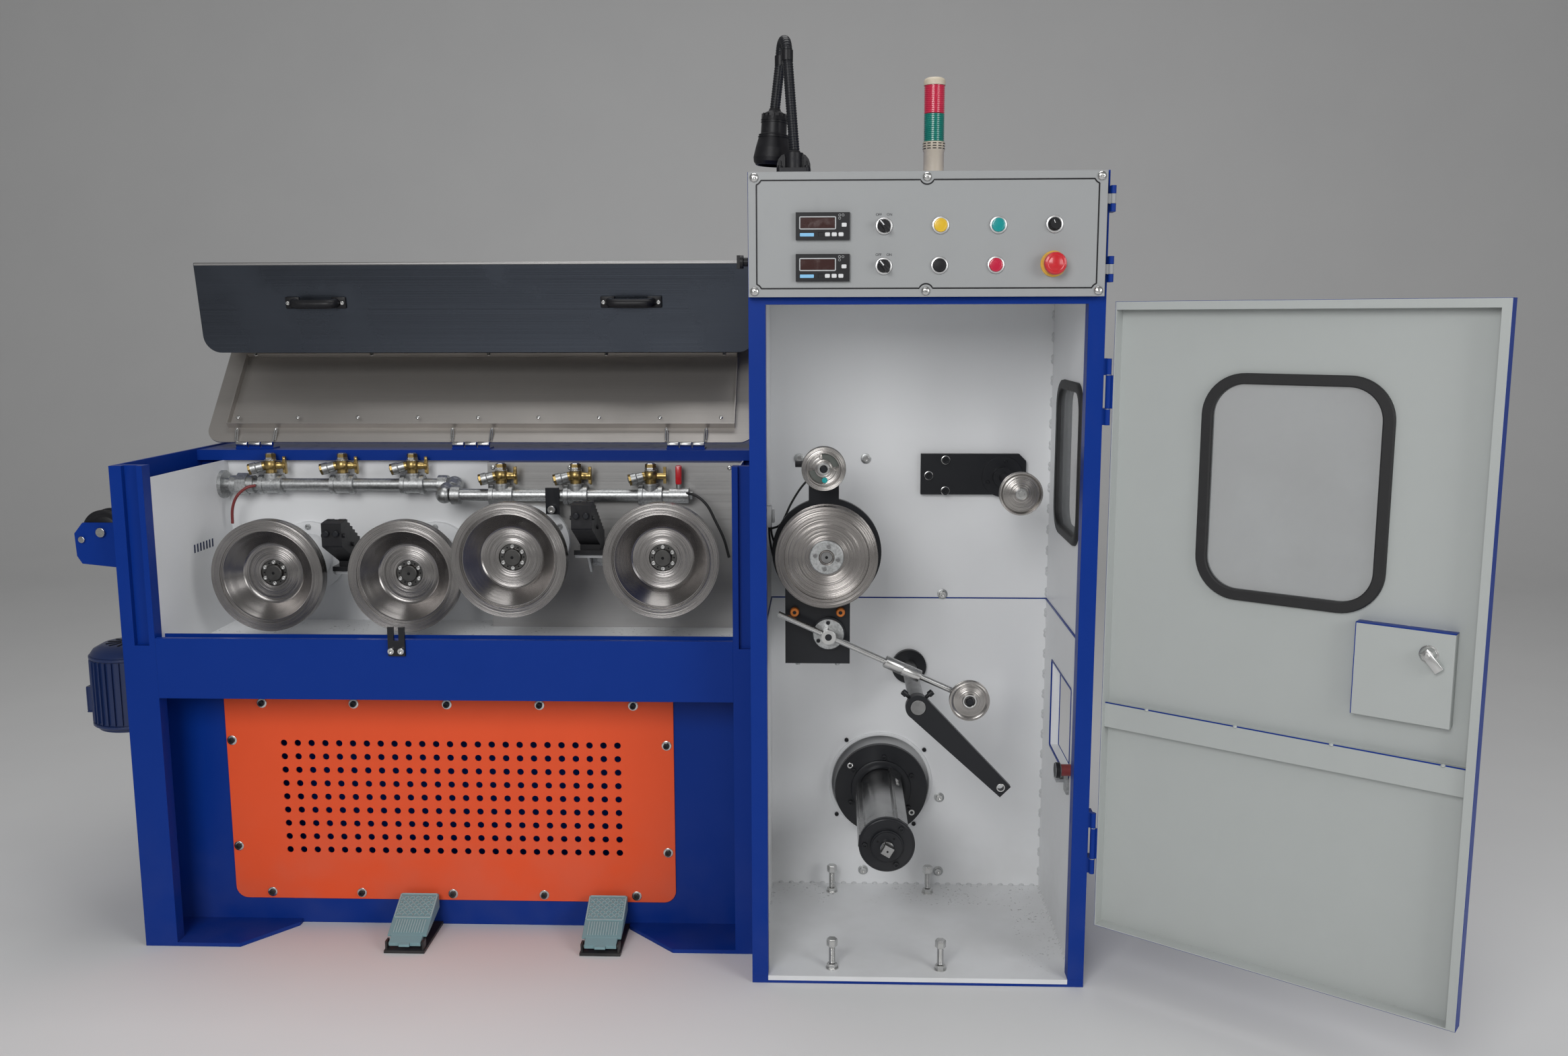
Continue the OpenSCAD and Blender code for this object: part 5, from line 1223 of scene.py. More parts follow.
@dataclass
class Chamber:
    """Drawing chamber: hub screws, bearing screws, valves, tubes, brackets."""

    cones: tuple[Point, ...] = ((-1026, 250, 760), (-737, 250, 760), (-502, 190, 806), (-192, 190, 806))
    left_tees: tuple[float, ...] = (-1094, -933, -776)
    right_tees: tuple[float, ...] = (-565, -402, -239)
    left_pipe: Pair = (465.0, 927.0)
    right_pipe: Pair = (410.0, 911.0)
    left_wall: float = 500.0
    right_wall: float = 440.0
    hub: float = 22.5

    def hubs(self) -> None:
        """Screws and a dark ring in each hub, holes between the screws, the shaft's end, and the bearing's
        screws.
        """
        for number, (x, y, z) in enumerate(self.cones, 1):
            body = Body(f"cone_{number}")
            face, end = (x, y + 40.9, z), (x, y + 32.3, z)
            rim = [(18.8, 41.6), (18.8, 40.9), (27.2, 40.9), (27.2, 41.6)]
            shaft = [(0, 32.3), (16.2, 32.3), (17.4, 33.1), (17.4, 33.7), (0, 33.7)]
            Shape(body).turned((x, y, z), rim, 64).piece(f"hub_ring_{number}", DARK_STEEL)
            Shape(body).turned((x, y, z), shaft, 48).piece(f"hub_shaft_end_{number}", DARK_STEEL)
            bearing = (x, (self.left_wall if number < 3 else self.right_wall) - 14, z)
            for name, pattern, size, finish, places, rides in (
                    ("hub_screws", CAP, 4.3, BRIGHT, ring(face, self.hub, turns(6, 30)), body),
                    ("hub_holes", HOLE, 1.7, HOLE_DARK, ring(face, self.hub, turns(6)), body),
                    ("hub_centre", HOLE, 3.2, HOLE_DARK, facing([end]), body),
                    ("bearing_screws", CAP, 6.2, ZINC, ring(bearing, 68, turns(6, 30)), Body.MACHINE)):
                Copies.put(f"{name}_{number}", pattern, size, finish, places, rides)

    def valves(self) -> None:
        """Nozzles, plugs and wing levers of the spray valves, and thread rings on the tees."""
        nozzle = [(0, -4), (5, -4), (8, 0), (10.6, 3), (12.9, 3), (12.9, 14), (11, 16), (11, 29), (0, 29)]
        plug = [(0, 0), (12.6, 0), (12.6, 4), (11.5, 5), (10, 5), (10, 13), (9, 14), (0, 14)]
        boss = [(0, 0), (8.4, 0), (8.4, 6), (7.4, 8), (7.4, 14), (9.6, 15), (9.6, 19), (0, 19)]
        wing_layers = ((9, 20, -3.6), (10, 39, 0), (9, 38, 3.6))
        nozzles, plugs, wings, rings = (Shape() for _ in range(4))
        spots = [(x, *pipe) for tees, pipe in ((self.left_tees, self.left_pipe),
                                               (self.right_tees, self.right_pipe)) for x in tees]
        for x, y, z in spots:
            nozzles.turned((0, 0, 0), nozzle, 28, "Z",
                           posed((x - 44, y - 10, z + 34), 12, "Z") @ posed((0, 0, 0), 76, "Y"))
            plugs.turned((x, y, z + 56), plug, 6, "Z")
            plugs.turned((x, y, z + 53), [(11, 0), (13.2, 0.5), (13.2, 2.5), (11, 3)], 28, "Z")
            if x != self.right_tees[-1]:
                wings.turned((x + 14, y, z + 42), boss, 24, "X")
                wings.stack([(rounded(w, d, 3.8, 4), h) for w, d, h in wing_layers],
                            posed((x + 31, y, z + 42), 8, "X") @ plane((0, 0, 0), (0, 1, 0)))
            for side in (-21, 21):
                rings.turned((x + side, y, z), [(18, -5.6), (21.6, -4.6), (21.6, 4.6), (18, 5.6)], 32, "X")
            rings.turned((x, y, z + 24), [(15, -4), (18.2, -3), (18.2, 1.6), (15, 2.6)], 32, "Z")
        nozzles.piece("spray_nozzles", ZINC)
        plugs.piece("valve_plugs", BRIGHT, ZINC.slot)
        wings.piece("valve_wings", BRASS)
        rings.piece("tee_beads", ZINC)

    def tubes(self) -> None:
        """Rigid thin tubes, the red lever of the end valve, clamp and pipe fittings."""
        Shape().tube(smooth_path((-1124, 448, 926), (-1143, 440, 921), (-1164, 438, 902), (-1175, 438, 875),
                                 (-1178, 440, 842)), 3.2).piece("brown_tube", BROWN_RED)
        Shape().tube(smooth_path((-172, 404, 918), (-140, 386, 914), (-115, 380, 894), (-97, 380, 860),
                                 (-79, 380, 821), (-68, 380, 780)), 3.0).piece("dark_tube", RUBBER)
        y, z = self.right_pipe
        Shape().box((-184.6, y - 8.6, z + 24), (-171.4, y + 8.6, z + 65), 3.0).piece("valve_lever", STOP_RED)
        (Shape().turned((-198, y, z), [(12, 0), (17.6, 0), (17.6, 10), (16, 12), (12, 12)], 6, "X")
         .turned((-168, y, z), [(0, 0), (14, 0), (14, 12), (9, 14), (9, 20), (0, 20)], 6, "X")
         .piece("valve_nuts", ZINC))
        Copies.put("clamp_bolts", CAP, 8.4, BRIGHT, facing([(-451, y - 23.8, z - 28)]))
        for name, x, pipe in (("left", -709, self.left_pipe), ("right", -665, self.right_pipe)):
            Shape().turned((x, *pipe), [(17, -10), (21, -9), (21, 9), (17, 10)], 32, "X").piece(
                f"elbow_bead_{name}", ZINC)

    def holders(self) -> None:
        """Knobs, shelf plates and bolts of the die holders."""
        knob = [(0, -9), (5, -9), (6.4, -7.6), (6.4, -2), (4, -1), (4, 2), (0, 2)]
        knobs, shelves = Shape(), Shape()
        for x, y, z, wall in ((-881, 240, 760, self.left_wall), (-351, 190, 806, self.right_wall)):
            for dx in (-10, 10):
                knobs.turned((x + dx, y + 1, z + 92), knob, 24)
            for step_y, step_z in ((y + 27.5 + 13.8 * i, z + 115.4 - 9.3 * i) for i in range(9)):
                for left, right in ((-19.5, -5), (5, 19.5)):
                    knobs.box((x + left, step_y, step_z), (x + right, step_y + 9, step_z + 2), 0.5)
            shelves.box((x - 34, y + 100, z - 12), (x + 34, wall + 0.5, z - 2.8), 1.5)
            for side in (-27, 27):
                shelves.slab([(0, 0), (-55, 0), (0, -60)], -2.5, 2.5,
                             plane((x + side, wall + 0.4, z - 11), (0, 1, 0)))
        knobs.piece("die_holder_knobs", BLACK_METAL)
        shelves.piece("die_holder_shelves", WHITE)
        Shape().box((-372, 425, 752), (-338, 440.5, 790), 2.0).piece("clamp_block", ZINC)
        Copies.put("clamp_block_bolt", HEX, 8.0, ZINC, facing([(-355, 425, 768)]))

    def edges(self) -> None:
        """Plate screws and the wire slots' shadows on the left wall."""
        Copies.put("plate_screws", BUTTON, 5.5, BRIGHT,
                   facing([(x, self.right_wall, 968) for x in (-590, -420, -250, -70)]))
        slots = Shape()
        for y in range(311, 396, 14):
            slots.box((-1206.8, y, 797), (-1205.6, y + 6, 815), 0.3)
        slots.piece("slot_marks", SLOT_BLUE)

    def run(self) -> None:
        """Builds the chamber's details."""
        for step in (self.hubs, self.valves, self.tubes, self.holders, self.edges):
            step()


@dataclass
class Lid:
    """Lid and flap: hinge knuckles, wires, tray screws and handles; drawn closed."""

    hinge: Point = (0.0, 505.0, 1013.0)
    angle: float = 91.3
    sides: tuple[float, float, float] = (272.0, 397.0, 251.0)
    hinges: tuple[float, ...] = (-1145.0, -654.0, -172.0)
    flap_hinge: Point = (0.0, 514.01, 1409.9)
    flap_lean: float = 9.0
    handles: Pair = (-994.0, -290.0)

    def lid(self) -> None:
        """Hinge knuckles, leaves and wires, and the tray's screws."""
        a, b, c = self.sides
        rise = math.degrees(math.acos((a ** 2 + b ** 2 - c ** 2) / (2 * a * b)))
        rear = CORNER @ posed(self.hinge, -self.angle - rise, "X")
        fixed, moving, wires = Shape(), Shape(Body.LID, rear), Shape(Body.LID, rear)
        knuckle = [(2, 0), (5.5, 0), (5.7, 0.4), (5.7, 24.8), (5.5, 25.2), (2, 25.2)]
        wire = ((41, -4, -2), (41.5, -20, -6), (42.5, -33, -9), (45, -36.5, -9.8), (46.5, -32, -8.8),
                (45.5, -8, -3))
        for x in self.hinges:
            for s in (-1, 0, 1):
                fixed.turned((x + s * 28.67 - 12.6, *self.hinge[1:]), knuckle, 24, "X")
            moving.box((x - 43, -36, 2.6), (x + 43, -5.6, 4.4), 0.6)
            for s in (-1, 1):
                wires.tube(smooth_path(*((x + s * dx, y, z) for dx, y, z in wire)), 1.9, 8)
        fixed.piece("lid_hinge_knuckles", BRIGHT)
        moving.piece("lid_hinge_leaves", BRIGHT)
        wires.piece("lid_hinge_wires", BRIGHT)
        rows = [(x, y, -18.2) for y, step in ((-60, 137), (-240, 274)) for x in spaced(-1190, -95, step)]
        Copies.put("tray_screws", BUTTON, 4.6, BRIGHT, facing(rows, DOWN), Body.LID, matrix=rear)

    def flap(self) -> None:
        """Handles with their screws, and the rod of the flap's hinge."""
        hang = CORNER @ posed(self.flap_hinge, self.flap_lean, "X")
        bow = ((-46, -6), (-44, -20), (-36, -28), (-15, -30.4), (15, -30.4), (36, -28), (44, -20), (46, -6))
        grips, screws = Shape(Body.FLAP, hang), []
        for x in self.handles:
            grips.tube(smooth_path(*((x + dx, y, -84) for dx, y in bow), steps=6), 10.2, 16)
            for s in (-1, 1):
                grips.box((x + s * 52 - 16, -9.5, -97), (x + s * 52 + 16, -3.6, -71), 2.4)
                screws.append((x + s * 61, -9.4, -84))
        grips.piece("handle_grips", BLACK_PLASTIC, replaces=("flap_handles",))
        Copies.put("handle_screws", CAP, 4.4, BRIGHT, facing(screws), Body.FLAP, matrix=hang)
        Shape(Body.FLAP, hang).tube([(x, 0, 0) for x in (-1259, -700, -19)], 4.35, 20).piece(
            "flap_hinge_rod", STAINLESS)

    def run(self) -> None:
        """Builds the lid's and the flap's details."""
        self.lid()
        self.flap()


@dataclass
class LowerFront:
    """Perforated cover's screws, the fork's bolts and the pedals' treads."""

    face: float = 237.0
    rows: tuple[tuple[float, tuple[float, ...]], ...] = ((490, (-1048, -852, -654, -458, -261)),
                                                         (70, (-1050, -855, -657, -460, -261)))
    ends: tuple[Pair, ...] = ((-1117, 408), (-1117, 173), (-192, 404), (-192, 168))
    pedals: tuple[tuple[float, Body], ...] = ((-724.0, Body.PEDAL_LEFT), (-319.0, Body.PEDAL_RIGHT))
    lattice: tuple[float, float, float] = (36.0, 60.0, 113.0)
    lattice_pitch: float = 12.5

    def run(self) -> None:
        """Builds the lower front's details."""
        spots = [(x, z) for z, row in self.rows for x in row] + list(self.ends)
        for name, pattern, size, finish, rise in (("cover_washers", WASHER, 10.4, BRIGHT, 0.0),
                                                  ("cover_screws", CAP, 6.6, BLACK_METAL, 1.2)):
            Copies.put(name, pattern, size, finish, facing([(x, self.face - rise, z) for x, z in spots]))
        Copies.put("fork_bolts", CAP, 6.6, BRIGHT, facing([(x, 113, 636) for x in (-724, -704)]))
        for number, (x, body) in enumerate(self.pedals, 1):
            self.pedal(number, x, body)

    def lines(self) -> list[tuple[Pair, Pair, float]]:
        """The tread's ridges as (start, stop, width): a lattice, its frame and straight ribs."""
        edge, low, high = self.lattice
        found = []
        for k in range(-9, 10):
            for lean in (-1, 1):
                v0, v1 = ((low + high) / 2 + self.lattice_pitch * k + lean * u for u in (-edge, edge))
                t0, t1 = sorted(((low - v0) / (v1 - v0), (high - v0) / (v1 - v0)))
                t0, t1 = max(0.0, t0), min(1.0, t1)
                if (t1 - t0) * 2 * edge > 6:
                    start, stop = ((edge * (2 * t - 1), v0 + (v1 - v0) * t) for t in (t0, t1))
                    found.append((start, stop, 2.2))
        found += [((-38, v), (38, v), 3.2) for v in (56, 117)]
        found += [((u, 57), (u, 116), 3.2) for u in (-38.4, 38.4)]
        return found + [((u, 17), (u, 51), 2.4) for u in (-30 + i * 60 / 11 for i in range(12))]

    def pedal(self, number: int, x: float, body: Body) -> None:
        """One pedal: a wedge with a toe, and its tread."""
        pad = Shape(body)
        for half, outline in (
                (40.5, [(124, 25.5), (132, 25.5), (160, 31), (222, 46), (221, 76), (219, 77.2), (124, 29.2)]),
                (33.0, [(106, 13.5), (118, 13.2), (130, 26), (130, 31.8), (113, 23.4), (106, 20)]),
                (11.0, [(100.5, 14.2), (107, 13.6), (107, 20.4), (102, 18.6)])):
            pad.slab(outline, -half, half, plane((x, 0, 0), (0, 1, 0)))
        pad.piece(f"pedal_{number}_pad", AQUA, replaces=(f"{body.value.removeprefix('pedal_')}_pedal",))
        tread = posed((x, 114, 24), math.degrees(math.atan2(54, 108)), "X")
        ridges = Shape(body)
        for start, stop, width in self.lines():
            first, last = Vector(start), Vector(stop)
            run = (last - first).normalized()
            out = Vector((-run.y, run.x)) * (width / 2)
            base = [first - out, last - out, last + out, first + out]
            middle = (first + last) / 2
            crown = [q + (middle - q).normalized() * 0.5 for q in base]
            ridges.stack([(base, -0.4), (crown, 1.5)], tread)
        ridges.piece(f"pedal_{number}_tread", AQUA_WORN)


@dataclass
class LeftSide:
    """Entry bracket's bolts and the pump motor's fins, box and cover."""

    roller: Pair = (-1324.0, 865.0)
    motor: Pair = (-1353.0, 290.0)
    cowl: float = 608.6

    def run(self) -> None:
        """Builds the left side's details."""
        x, z = self.roller
        (Shape().rod((x, 160.5, z), 9.6, 2.0, 0.8, 32).rod((-1365, 162.6, 850), 6.6, 1.8, 0.6, 28)
         .piece("bracket_pin_caps", BRIGHT))
        face = [(12, -0.4), (30, -0.4), (31, 0.2), (36, 0.4), (36, -0.2), (42, -0.6), (43.6, 0.2), (12, 0.2)]
        Shape(Body.ROLLER).turned((x, 176, z), face, 56).piece("roller_face", BLACK_PLASTIC)
        mx, my = self.motor
        fins, slots = Shape(), Shape()
        for angle in turns(32):
            fins.box((72, -1.3, 444), (79.5, 1.3, 578), 0.6, posed((mx, my, 0), angle, "Z"))
        for low, high in ((435, 442), (580, 587)):
            fins.turned((mx, my, 0), [(70, low), (78, low), (79.5, low + 1.5), (79.5, high - 1.5), (78, high),
                                      (70, high)], 64, "Z")
        fins.piece("motor_fins", MOTOR_BLUE)
        Shape().turned((mx, my, 0), [(0, 586), (76, 586), (77, 588), (70, 598), (52, 607.5), (0, 609)], 64,
                       "Z").piece("motor_cowl", MOTOR_BLUE)
        for angle in turns(12):
            slots.box((14, -2.4, -0.6), (44, 2.4, 0.5), 0.3, posed((mx, my, self.cowl), angle, "Z"))
        slots.piece("motor_grille", HOLE_DARK, MOTOR_BLUE.slot)
        (Shape().box((mx - 84.2, my - 32, 460), (mx - 20, my + 32, 463), 1.0)
         .box((mx - 84.4, my - 31, 464), (mx - 81, my + 31, 514), 1.2).piece("motor_box_lid", MOTOR_BLUE))
        corners = [(mx - 81.9, my + dy, z) for dy in (-25, 25) for z in (470, 508)]
        Copies.put("motor_box_screws", CAP, 3.2, ZINC, facing(corners, (-1, 0, 0)))


@dataclass
class TakeUp:
    """Capstan, sensing pulley, dancer, traverse, arm and spindle details."""

    capstan: Point = (143.0, 110.0, 828.0)
    sensor: Point = (137.0, 110.0, 1002.0)
    dancer: Point = (147.0, 148.0, 663.0)
    dancer_slope: float = 24.0
    dancer_reach: float = 307.0
    traverse: Point = (521.0, 135.0, 951.0)
    traverse_bolts: tuple[Pair, ...] = ((398, 987), (362, 953), (398, 920))
    arm: Point = (325.0, 112.0, 527.0)
    arm_slope: float = 44.5
    spindle: Point = (264.0, 62.0, 257.0)
    sleeves: Pair = (79.0, 171.0)
    sleeve_height: float = 708.0

    @property
    def wheel(self) -> Point:
        """The middle of the dancer's wheel."""
        x, y, z = self.dancer
        slope = math.radians(self.dancer_slope)
        return (x + self.dancer_reach * math.cos(slope), y - 26, z - self.dancer_reach * math.sin(slope))

    def turned_parts(self) -> None:
        """Discs, bosses, flanges and rims, as (name, body, finish, centre, sides, profile)."""
        at = self.spindle[0], self.spindle[2]
        mark = ring(self.sensor, 22, (-85,))[0][0]
        rows = (
            ("capstan_hub_disc", Body.CAPSTAN, ZINC, self.capstan, 64,
             [(15.5, 3.7), (31.2, 3.7), (32.6, 4.8), (32.6, 7.8), (33.4, 7.8), (33.4, 4.4), (31.6, 3.2),
              (15.5, 3.2)]),
            ("capstan_shaft_end", Body.CAPSTAN, GREY_STEEL, self.capstan, 48,
             [(0, 4.6), (12.2, 4.6), (13.4, 5.6), (13.4, 6.8), (0, 6.8)]),
            ("sensor_boss", Body.SENSOR, BRIGHT, self.sensor, 44,
             [(7.6, 1.4), (7.6, -1.6), (10.8, -1.6), (12.0, -0.4), (12.0, 1.4)]),
            ("sensor_mark", Body.SENSOR, TEAL_LENS, (mark[0], mark[1] + 2.2, mark[2]), 28,
             [(0, -1.6), (4.6, -1.6), (5.5, -0.8), (5.5, 0.2), (0, 0.2)]),
            ("dancer_flange", Body.MACHINE, ZINC, (self.dancer[0], 167, self.dancer[2]), 56,
             [(0, 0.3), (31, 0.3), (31, -3), (30, -4), (16, -4), (0, -4)]),
            ("dancer_hub", Body.DANCER, BRIGHT, self.dancer, 48,
             [(6.6, -12.1), (14.2, -12.1), (15.3, -11), (15.3, 14), (6.6, 14)]),
            ("dancer_wheel_boss", Body.DANCER_WHEEL, BRIGHT, self.wheel, 40,
             [(9, 0.6), (11, -1.6), (13.5, -1.6), (15, 1.4), (9, 1.4)]),
            ("traverse_boss", Body.TRAVERSE, BRIGHT, self.traverse, 48,
             [(5.4, 2.2), (11, 2.2), (11.6, 1.4), (11.6, -0.4), (10.4, -1.6), (6.4, -1.8), (5.4, -0.6)]),
            ("arm_shaft_end", Body.MACHINE, GREY_STEEL, self.arm, 48,
             [(0, -0.2), (14.6, -0.2), (16.1, 1.2), (16.1, 4), (0, 4)]),
            ("spindle_disc_rim", Body.SPINDLE, BLACK_METAL, (at[0], 72, at[1]), 80,
             [(50.5, 1.0), (52, -0.6), (54.2, 0.4), (55.4, 2.4), (50.5, 2.4)]),
            ("spindle_flange_boss", Body.SPINDLE, BLACK_METAL, (at[0], 395, at[1]), 80,
             [(48, 0.4), (48, -3), (50, -4), (62, -4), (66, -2.4), (67, 0.4)]))
        for name, body, finish, centre, sides, profile in rows:
            Shape(body).turned(centre, profile, sides).piece(name, finish)

    def screws(self) -> None:
        """Screws, nuts, washers and holes, as (name, pattern, size, finish, body, places)."""
        def before(at: Point, y: float) -> Point:
            """The point at another depth."""
            return (at[0], y, at[2])

        spindle, dancer, block = self.spindle, self.dancer, self.traverse_bolts
        feet = [(x, 182, 600) for x in (85, 165)]
        rows = (
            ("capstan_screws", CAP, 4.2, GREY_STEEL, Body.CAPSTAN,
             ring(before(self.capstan, 113.3), 22.5, turns(4, 80))),
            ("capstan_centre", HOLE, 3.0, HOLE_DARK, Body.CAPSTAN, facing([before(self.capstan, 114.6)])),
            ("sensor_bolt", HEX, 7.2, BLACK_METAL, Body.SENSOR, facing([before(self.sensor, 110.2)])),
            ("dancer_flange_screws", CAP, 4.0, BLACK_METAL, Body.MACHINE,
             ring(before(dancer, 163), 24, turns(3, 92))),
            ("dancer_wheel_bolt", HEX, 7.4, BLACK_METAL, Body.DANCER_WHEEL,
             facing([before(self.wheel, self.wheel[1] + 0.3)])),
            ("sleeve_screws", CAP, 3.4, BLACK_METAL, Body.MACHINE,
             facing([(x, 160.4, self.sleeve_height) for x in self.sleeves])),
            ("bracket_feet", HEX, 5.2, ZINC, Body.MACHINE, facing(feet, DOWN)),
            ("traverse_bolts", CAP, 8.4, BLACK_METAL, Body.MACHINE, facing([(x, 428, z) for x, z in block])),
            ("traverse_bolt_rims", WASHER, 9.6, BRIGHT, Body.MACHINE,
             facing([(x, 427.8, z) for x, z in block])),
            ("traverse_flange_bolts", CAP, 3.4, BLACK_METAL, Body.MACHINE,
             ring(before(self.traverse, 425), 34, turns(3, 80))),
            ("traverse_nut", HEX, 6.4, BRIGHT, Body.TRAVERSE, facing([before(self.traverse, 136.6)])),
            ("spindle_disc_screws", CAP, 5.6, BLACK_METAL, Body.SPINDLE,
             ring(before(spindle, 72.6), 44, (50, 180, -65))),
            ("spindle_boss_holes", HOLE, 2.2, HOLE_DARK, Body.SPINDLE,
             ring(before(spindle, 61.9), 22, (51.566, 148.969))),
            ("spindle_flange_screws", CAP, 5.6, BLACK_METAL, Body.SPINDLE,
             ring(before(spindle, 394.6), 74, turns(6, 25))),
            ("spindle_edge_holes", WASHER, 6.6, BRIGHT, Body.SPINDLE,
             ring(before(spindle, 394.9), 87, (142, -38))),
            ("spindle_centre", HOLE, 2.2, HOLE_DARK, Body.SPINDLE, facing([before(spindle, 37.9)])))
        for name, pattern, size, finish, body, places in rows:
            Copies.put(name, pattern, size, finish, places, body)

    def sensor_parts(self) -> None:
        """Wells of the sensing pulley, its fitting, and the rigid leads behind the bracket."""
        x, y, z = self.sensor
        wells = Shape(Body.SENSOR)
        for low, high in ((8, 98), (190, 268)):
            sweep = [math.radians(low + (high - low) * i / 10) for i in range(11)]
            outline = [(r * math.cos(a), r * math.sin(a))
                       for r, arc in ((29.2, sweep), (17.8, sweep[::-1])) for a in arc]
            wells.slab(outline, -9.2, -8.2, plane((x, y, z)))
        wells.piece("sensor_wells", DULL_STEEL)
        fitting = Shape().box((x - 57, 178, z - 4), (x - 28, 186, z + 8), 1.2)
        fitting.rod((x - 57, 182, z + 2), 3.0, 6, 0.4, 6, "X").piece("sensor_fitting", BLACK_PLASTIC)
        (Shape().tube(smooth_path((27, 186, 882), (29, 188, 850), (36, 192, 815), (48, 196, 780)), 2.2, 10)
         .tube(smooth_path((31, 180, 882), (34, 184, 858), (44, 190, 836), (62, 196, 818)), 2.2, 10)
         .piece("guide_leads", RUBBER))
        lead = smooth_path((x - 30, 192, z - 28), (x - 48, 195, z - 50), (x - 66, 198, z - 80),
                           (x - 86, 196, z - 120), (30, 192, 872))
        Shape().tube(lead, 2.2, 10).piece("sensor_lead", RUBBER)

    def dancer_parts(self) -> None:
        """The dancer's hub socket and grooved weight, and the ribbed orange sleeves."""
        x, y, z = self.dancer
        Shape(Body.DANCER).rod((x, y - 12.4, z), 7.0, 1.4, 0.4, 24).piece("dancer_hub_socket", BLACK_METAL)
        weight = [(8, -0.4), (11.4, -0.4), (12.4, 0.8), (12.4, 37), (11.8, 38), (11.8, 39), (12.4, 40),
                  (12.4, 75.2), (11.4, 76.4), (8, 76.4)]
        Shape(Body.DANCER, CORNER @ posed(self.dancer, self.dancer_slope, "Y")).turned(
            (124, 0, 0), weight, 40, "X").piece("dancer_weight", BRIGHT)
        sleeve = [(3.6, -2), (7.2, -2), (8.3, -0.8), (8.3, 12), (7.6, 13.8), (3.6, 13.8)]
        sleeves = Shape()
        for at in ((sx, 161, self.sleeve_height) for sx in self.sleeves):
            sleeves.turned(at, sleeve, 28)
            for angle in turns(20):
                sleeves.box((7.8, -0.4, -0.6), (9.0, 12, 0.6), 0.2, posed(at, angle, "Y"))
        sleeves.piece("orange_sleeves", ORANGE_SLEEVE)

    def arm_parts(self) -> None:
        """Clamp screws, the rim of the arm's hole and the spindle's square end."""
        x, y, z = self.arm
        screw = [(0, 18), (4, 18), (4, 30), (6.4, 30), (6.4, 39), (5.6, 40), (3, 40), (3, 36), (0, 36)]
        screws = Shape(Body.ARM)
        for degrees in (138, 42):
            screws.turned((0, 0, 0), screw, 24, "X", posed((x, y + 24, z), -degrees, "Y"))
        screws.piece("arm_clamp_screws", BLACK_METAL)
        Shape(Body.ARM, CORNER @ posed(self.arm, self.arm_slope, "Y")).turned(
            (233, 0, 0), [(6.5, -0.3), (8.2, -0.3), (8.6, 0.2), (8.6, 1.0), (6.5, 1.0)], 36).piece(
            "arm_hole_rim", BRIGHT)
        tilt = posed((self.spindle[0], 0, self.spindle[2]), 30, "Y")
        square = Shape(Body.SPINDLE).box((-10.4, 38.6, -10.4), (10.4, 55.4, 10.4), 1.4, tilt)
        square.piece("spindle_square", GREY_STEEL)

    def run(self) -> None:
        """Builds the take-up details."""
        for step in (self.turned_parts, self.screws, self.sensor_parts, self.dancer_parts, self.arm_parts):
            step()


@dataclass
class Rear:
    """Access panels with screws at the back, which the photograph doesn't show."""

    back: float = 897.0
    panels: tuple[tuple[float, ...], ...] = ((-1240, -640, 60, 960), (-620, -20, 60, 960), (40, 605, 60, 640),
                                             (40, 605, 680, 1290))
    vents: Pair = (-1080.0, -460.0)

    def run(self) -> None:
        """Builds the rear details."""
        plates, screws = Shape(), []
        for left, right, low, high in self.panels:
            x, z = (left + right) / 2, (low + high) / 2
            plates.stack([(rounded(right - left - 2 * inset, high - low - 2 * inset, 12, 5), height)
                          for height, inset in ((-0.2, 0.0), (1.1, 0.0), (1.6, 0.8))],
                         plane((x, self.back, z), (-1, 0, 0)))
            screws += [(px, self.back + 1.5, pz) for px in (left + 16, x, right - 16)
                       for pz in (low + 16, z, high - 16)]
        plates.piece("rear_panels", BLUE)
        Copies.put("rear_screws", HOLE, 5.0, ZINC, facing(screws, (0, 1, 0)))
        louvres = Shape()
        for left in self.vents:
            for z in range(700, 877, 22):
                louvres.box((left, self.back + 1.2, z), (left + 280, self.back + 2.4, z + 7), 0.5)
        louvres.piece("rear_louvres", HOLE_DARK)


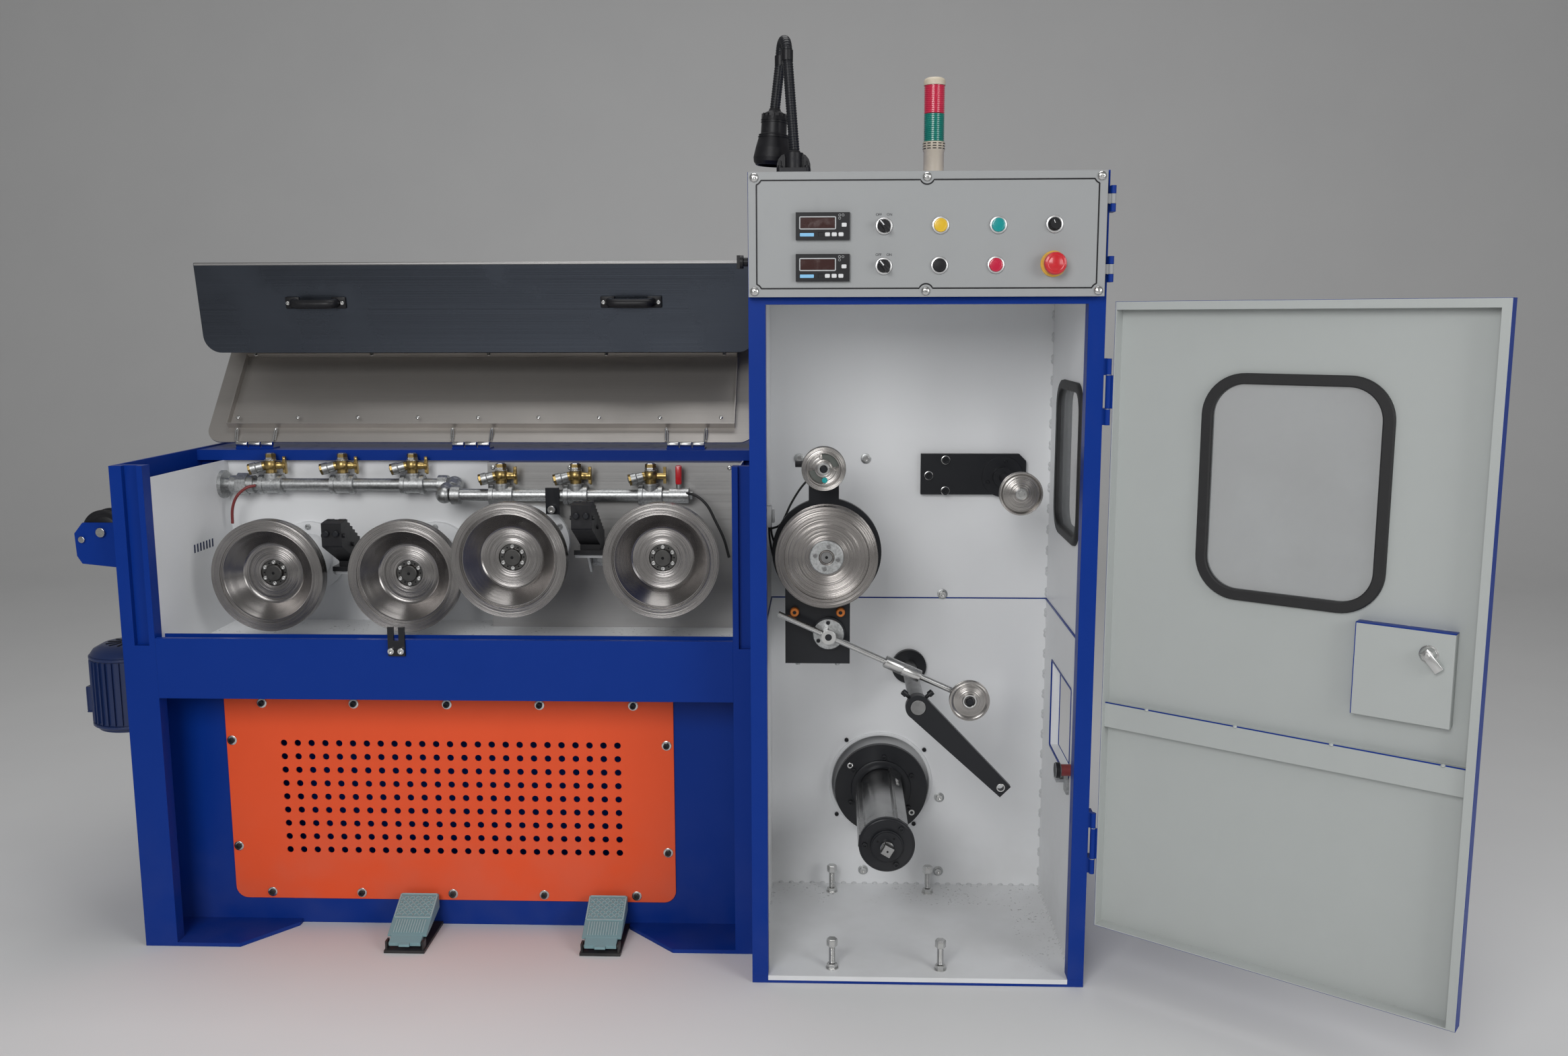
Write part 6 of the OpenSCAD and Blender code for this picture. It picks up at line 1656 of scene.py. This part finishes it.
@dataclass
class Studio:
    """Floor, backdrop, lights and camera; lengths in metres."""

    eye: Point = (-0.1717, -2.9252, 1.2892)
    yaw: float = -0.0350724
    pitch: float = 0.1543146
    roll: float = -0.0023095
    focal_px: float = 2000.5
    image_px: float = 2329.0
    sensor: float = 36.0
    reach: Pair = (-7.0, 3.6)
    bend: float = 1.5
    height: float = 7.0
    half_width: float = 9.0
    sky: float = 0.19
    lamps: tuple[tuple[str, Point, Point, float, float], ...] = (
        ("key", (-1.3, -4.2, 2.6), (-0.3, 0.0, 0.8), 1.8, 84.0),
        ("fill", (2.6, -3.2, 1.9), (0.0, 0.0, 0.7), 1.6, 40.0),
        ("top", (-0.4, 0.2, 4.2), (-0.4, 0.0, 0.8), 2.4, 48.0))

    @staticmethod
    def link(name: str, data: bpy.types.ID) -> bpy.types.Object:
        """Puts an object into the scene."""
        made = bpy.data.objects.new(name, data)
        bpy.context.collection.objects.link(made)
        return made

    def camera(self) -> None:
        """Sets the camera at the photograph's place."""
        ahead = math.cos(self.pitch)
        forward = Vector((math.sin(self.yaw) * ahead, math.cos(self.yaw) * ahead, -math.sin(self.pitch)))
        side = Vector((math.cos(self.yaw), -math.sin(self.yaw), 0.0))
        top = side.cross(forward)
        right = side * math.cos(self.roll) + top * math.sin(self.roll)
        up = top * math.cos(self.roll) - side * math.sin(self.roll)
        data = bpy.data.cameras.new("camera")
        data.sensor_width = self.sensor
        data.lens = self.focal_px * self.sensor / self.image_px
        data.clip_end = 60.0
        camera = self.link("camera", data)
        turn = Matrix((right, up, -forward)).transposed().to_4x4()
        camera.matrix_world = Matrix.Translation(self.eye) @ turn
        bpy.context.scene.camera = camera

    def light(self) -> None:
        """Soft square lights and an even sky."""
        for name, place, target, size, watts in self.lamps:
            data = bpy.data.lights.new(name, "AREA")
            data.size, data.energy = size, watts
            lamp = self.link(name, data)
            lamp.location = place
            lamp.rotation_euler = (Vector(target) - Vector(place)).to_track_quat("-Z", "Y").to_euler()
        world = bpy.data.worlds.new("studio")
        world.use_nodes = True
        sky = world.node_tree.nodes["Background"].inputs
        sky["Color"].default_value, sky["Strength"].default_value = (1.0, 1.0, 1.0, 1.0), self.sky
        bpy.context.scene.world = world
        bpy.context.scene.view_settings.view_transform = "Standard"

    def floor(self) -> None:
        """A pale floor that curves up into a backdrop."""
        front, back = self.reach
        profile = [(front, 0.0), (back, 0.0)]
        profile += [(back + self.bend * math.sin(a), self.bend - self.bend * math.cos(a))
                    for a in map(math.radians, range(15, 91, 15))]
        profile.append((back + self.bend, self.height))
        verts = [(x, y, z) for y, z in profile for x in (-self.half_width, self.half_width)]
        mesh = bpy.data.meshes.new("floor")
        faces = [(i, i + 1, i + 3, i + 2) for i in range(0, 2 * len(profile) - 2, 2)]
        mesh.from_pydata(verts, [], faces)
        mesh.shade_smooth()
        s = Shader("pale_floor")
        tone = s.mix(s.noise(3.0, 3.0), (0.72, 0.72, 0.72), (0.76, 0.76, 0.755))
        s.set(s.surface, {"Base Color": tone, "Roughness": 0.7})
        mesh.materials.append(s.material)
        floor = self.link("floor", mesh)

    def run(self) -> None:
        """Builds the stage."""
        for step in (self.camera, self.floor, self.light):
            step()


ASSEMBLIES = (Studio, Dressing, Cabinet, Door, Panel, Tower, Lamp, Chamber, Lid, LowerFront, LeftSide,
              TakeUp, Rear)


def main() -> None:
    """Builds the stage and each sub-assembly in order."""
    logging.basicConfig(level=logging.INFO, format="%(message)s")
    for step in ASSEMBLIES:
        step().run()
        LOG.info("%s done", step.__name__)
    Copies.clear()


if __name__ == "__main__":
    main()
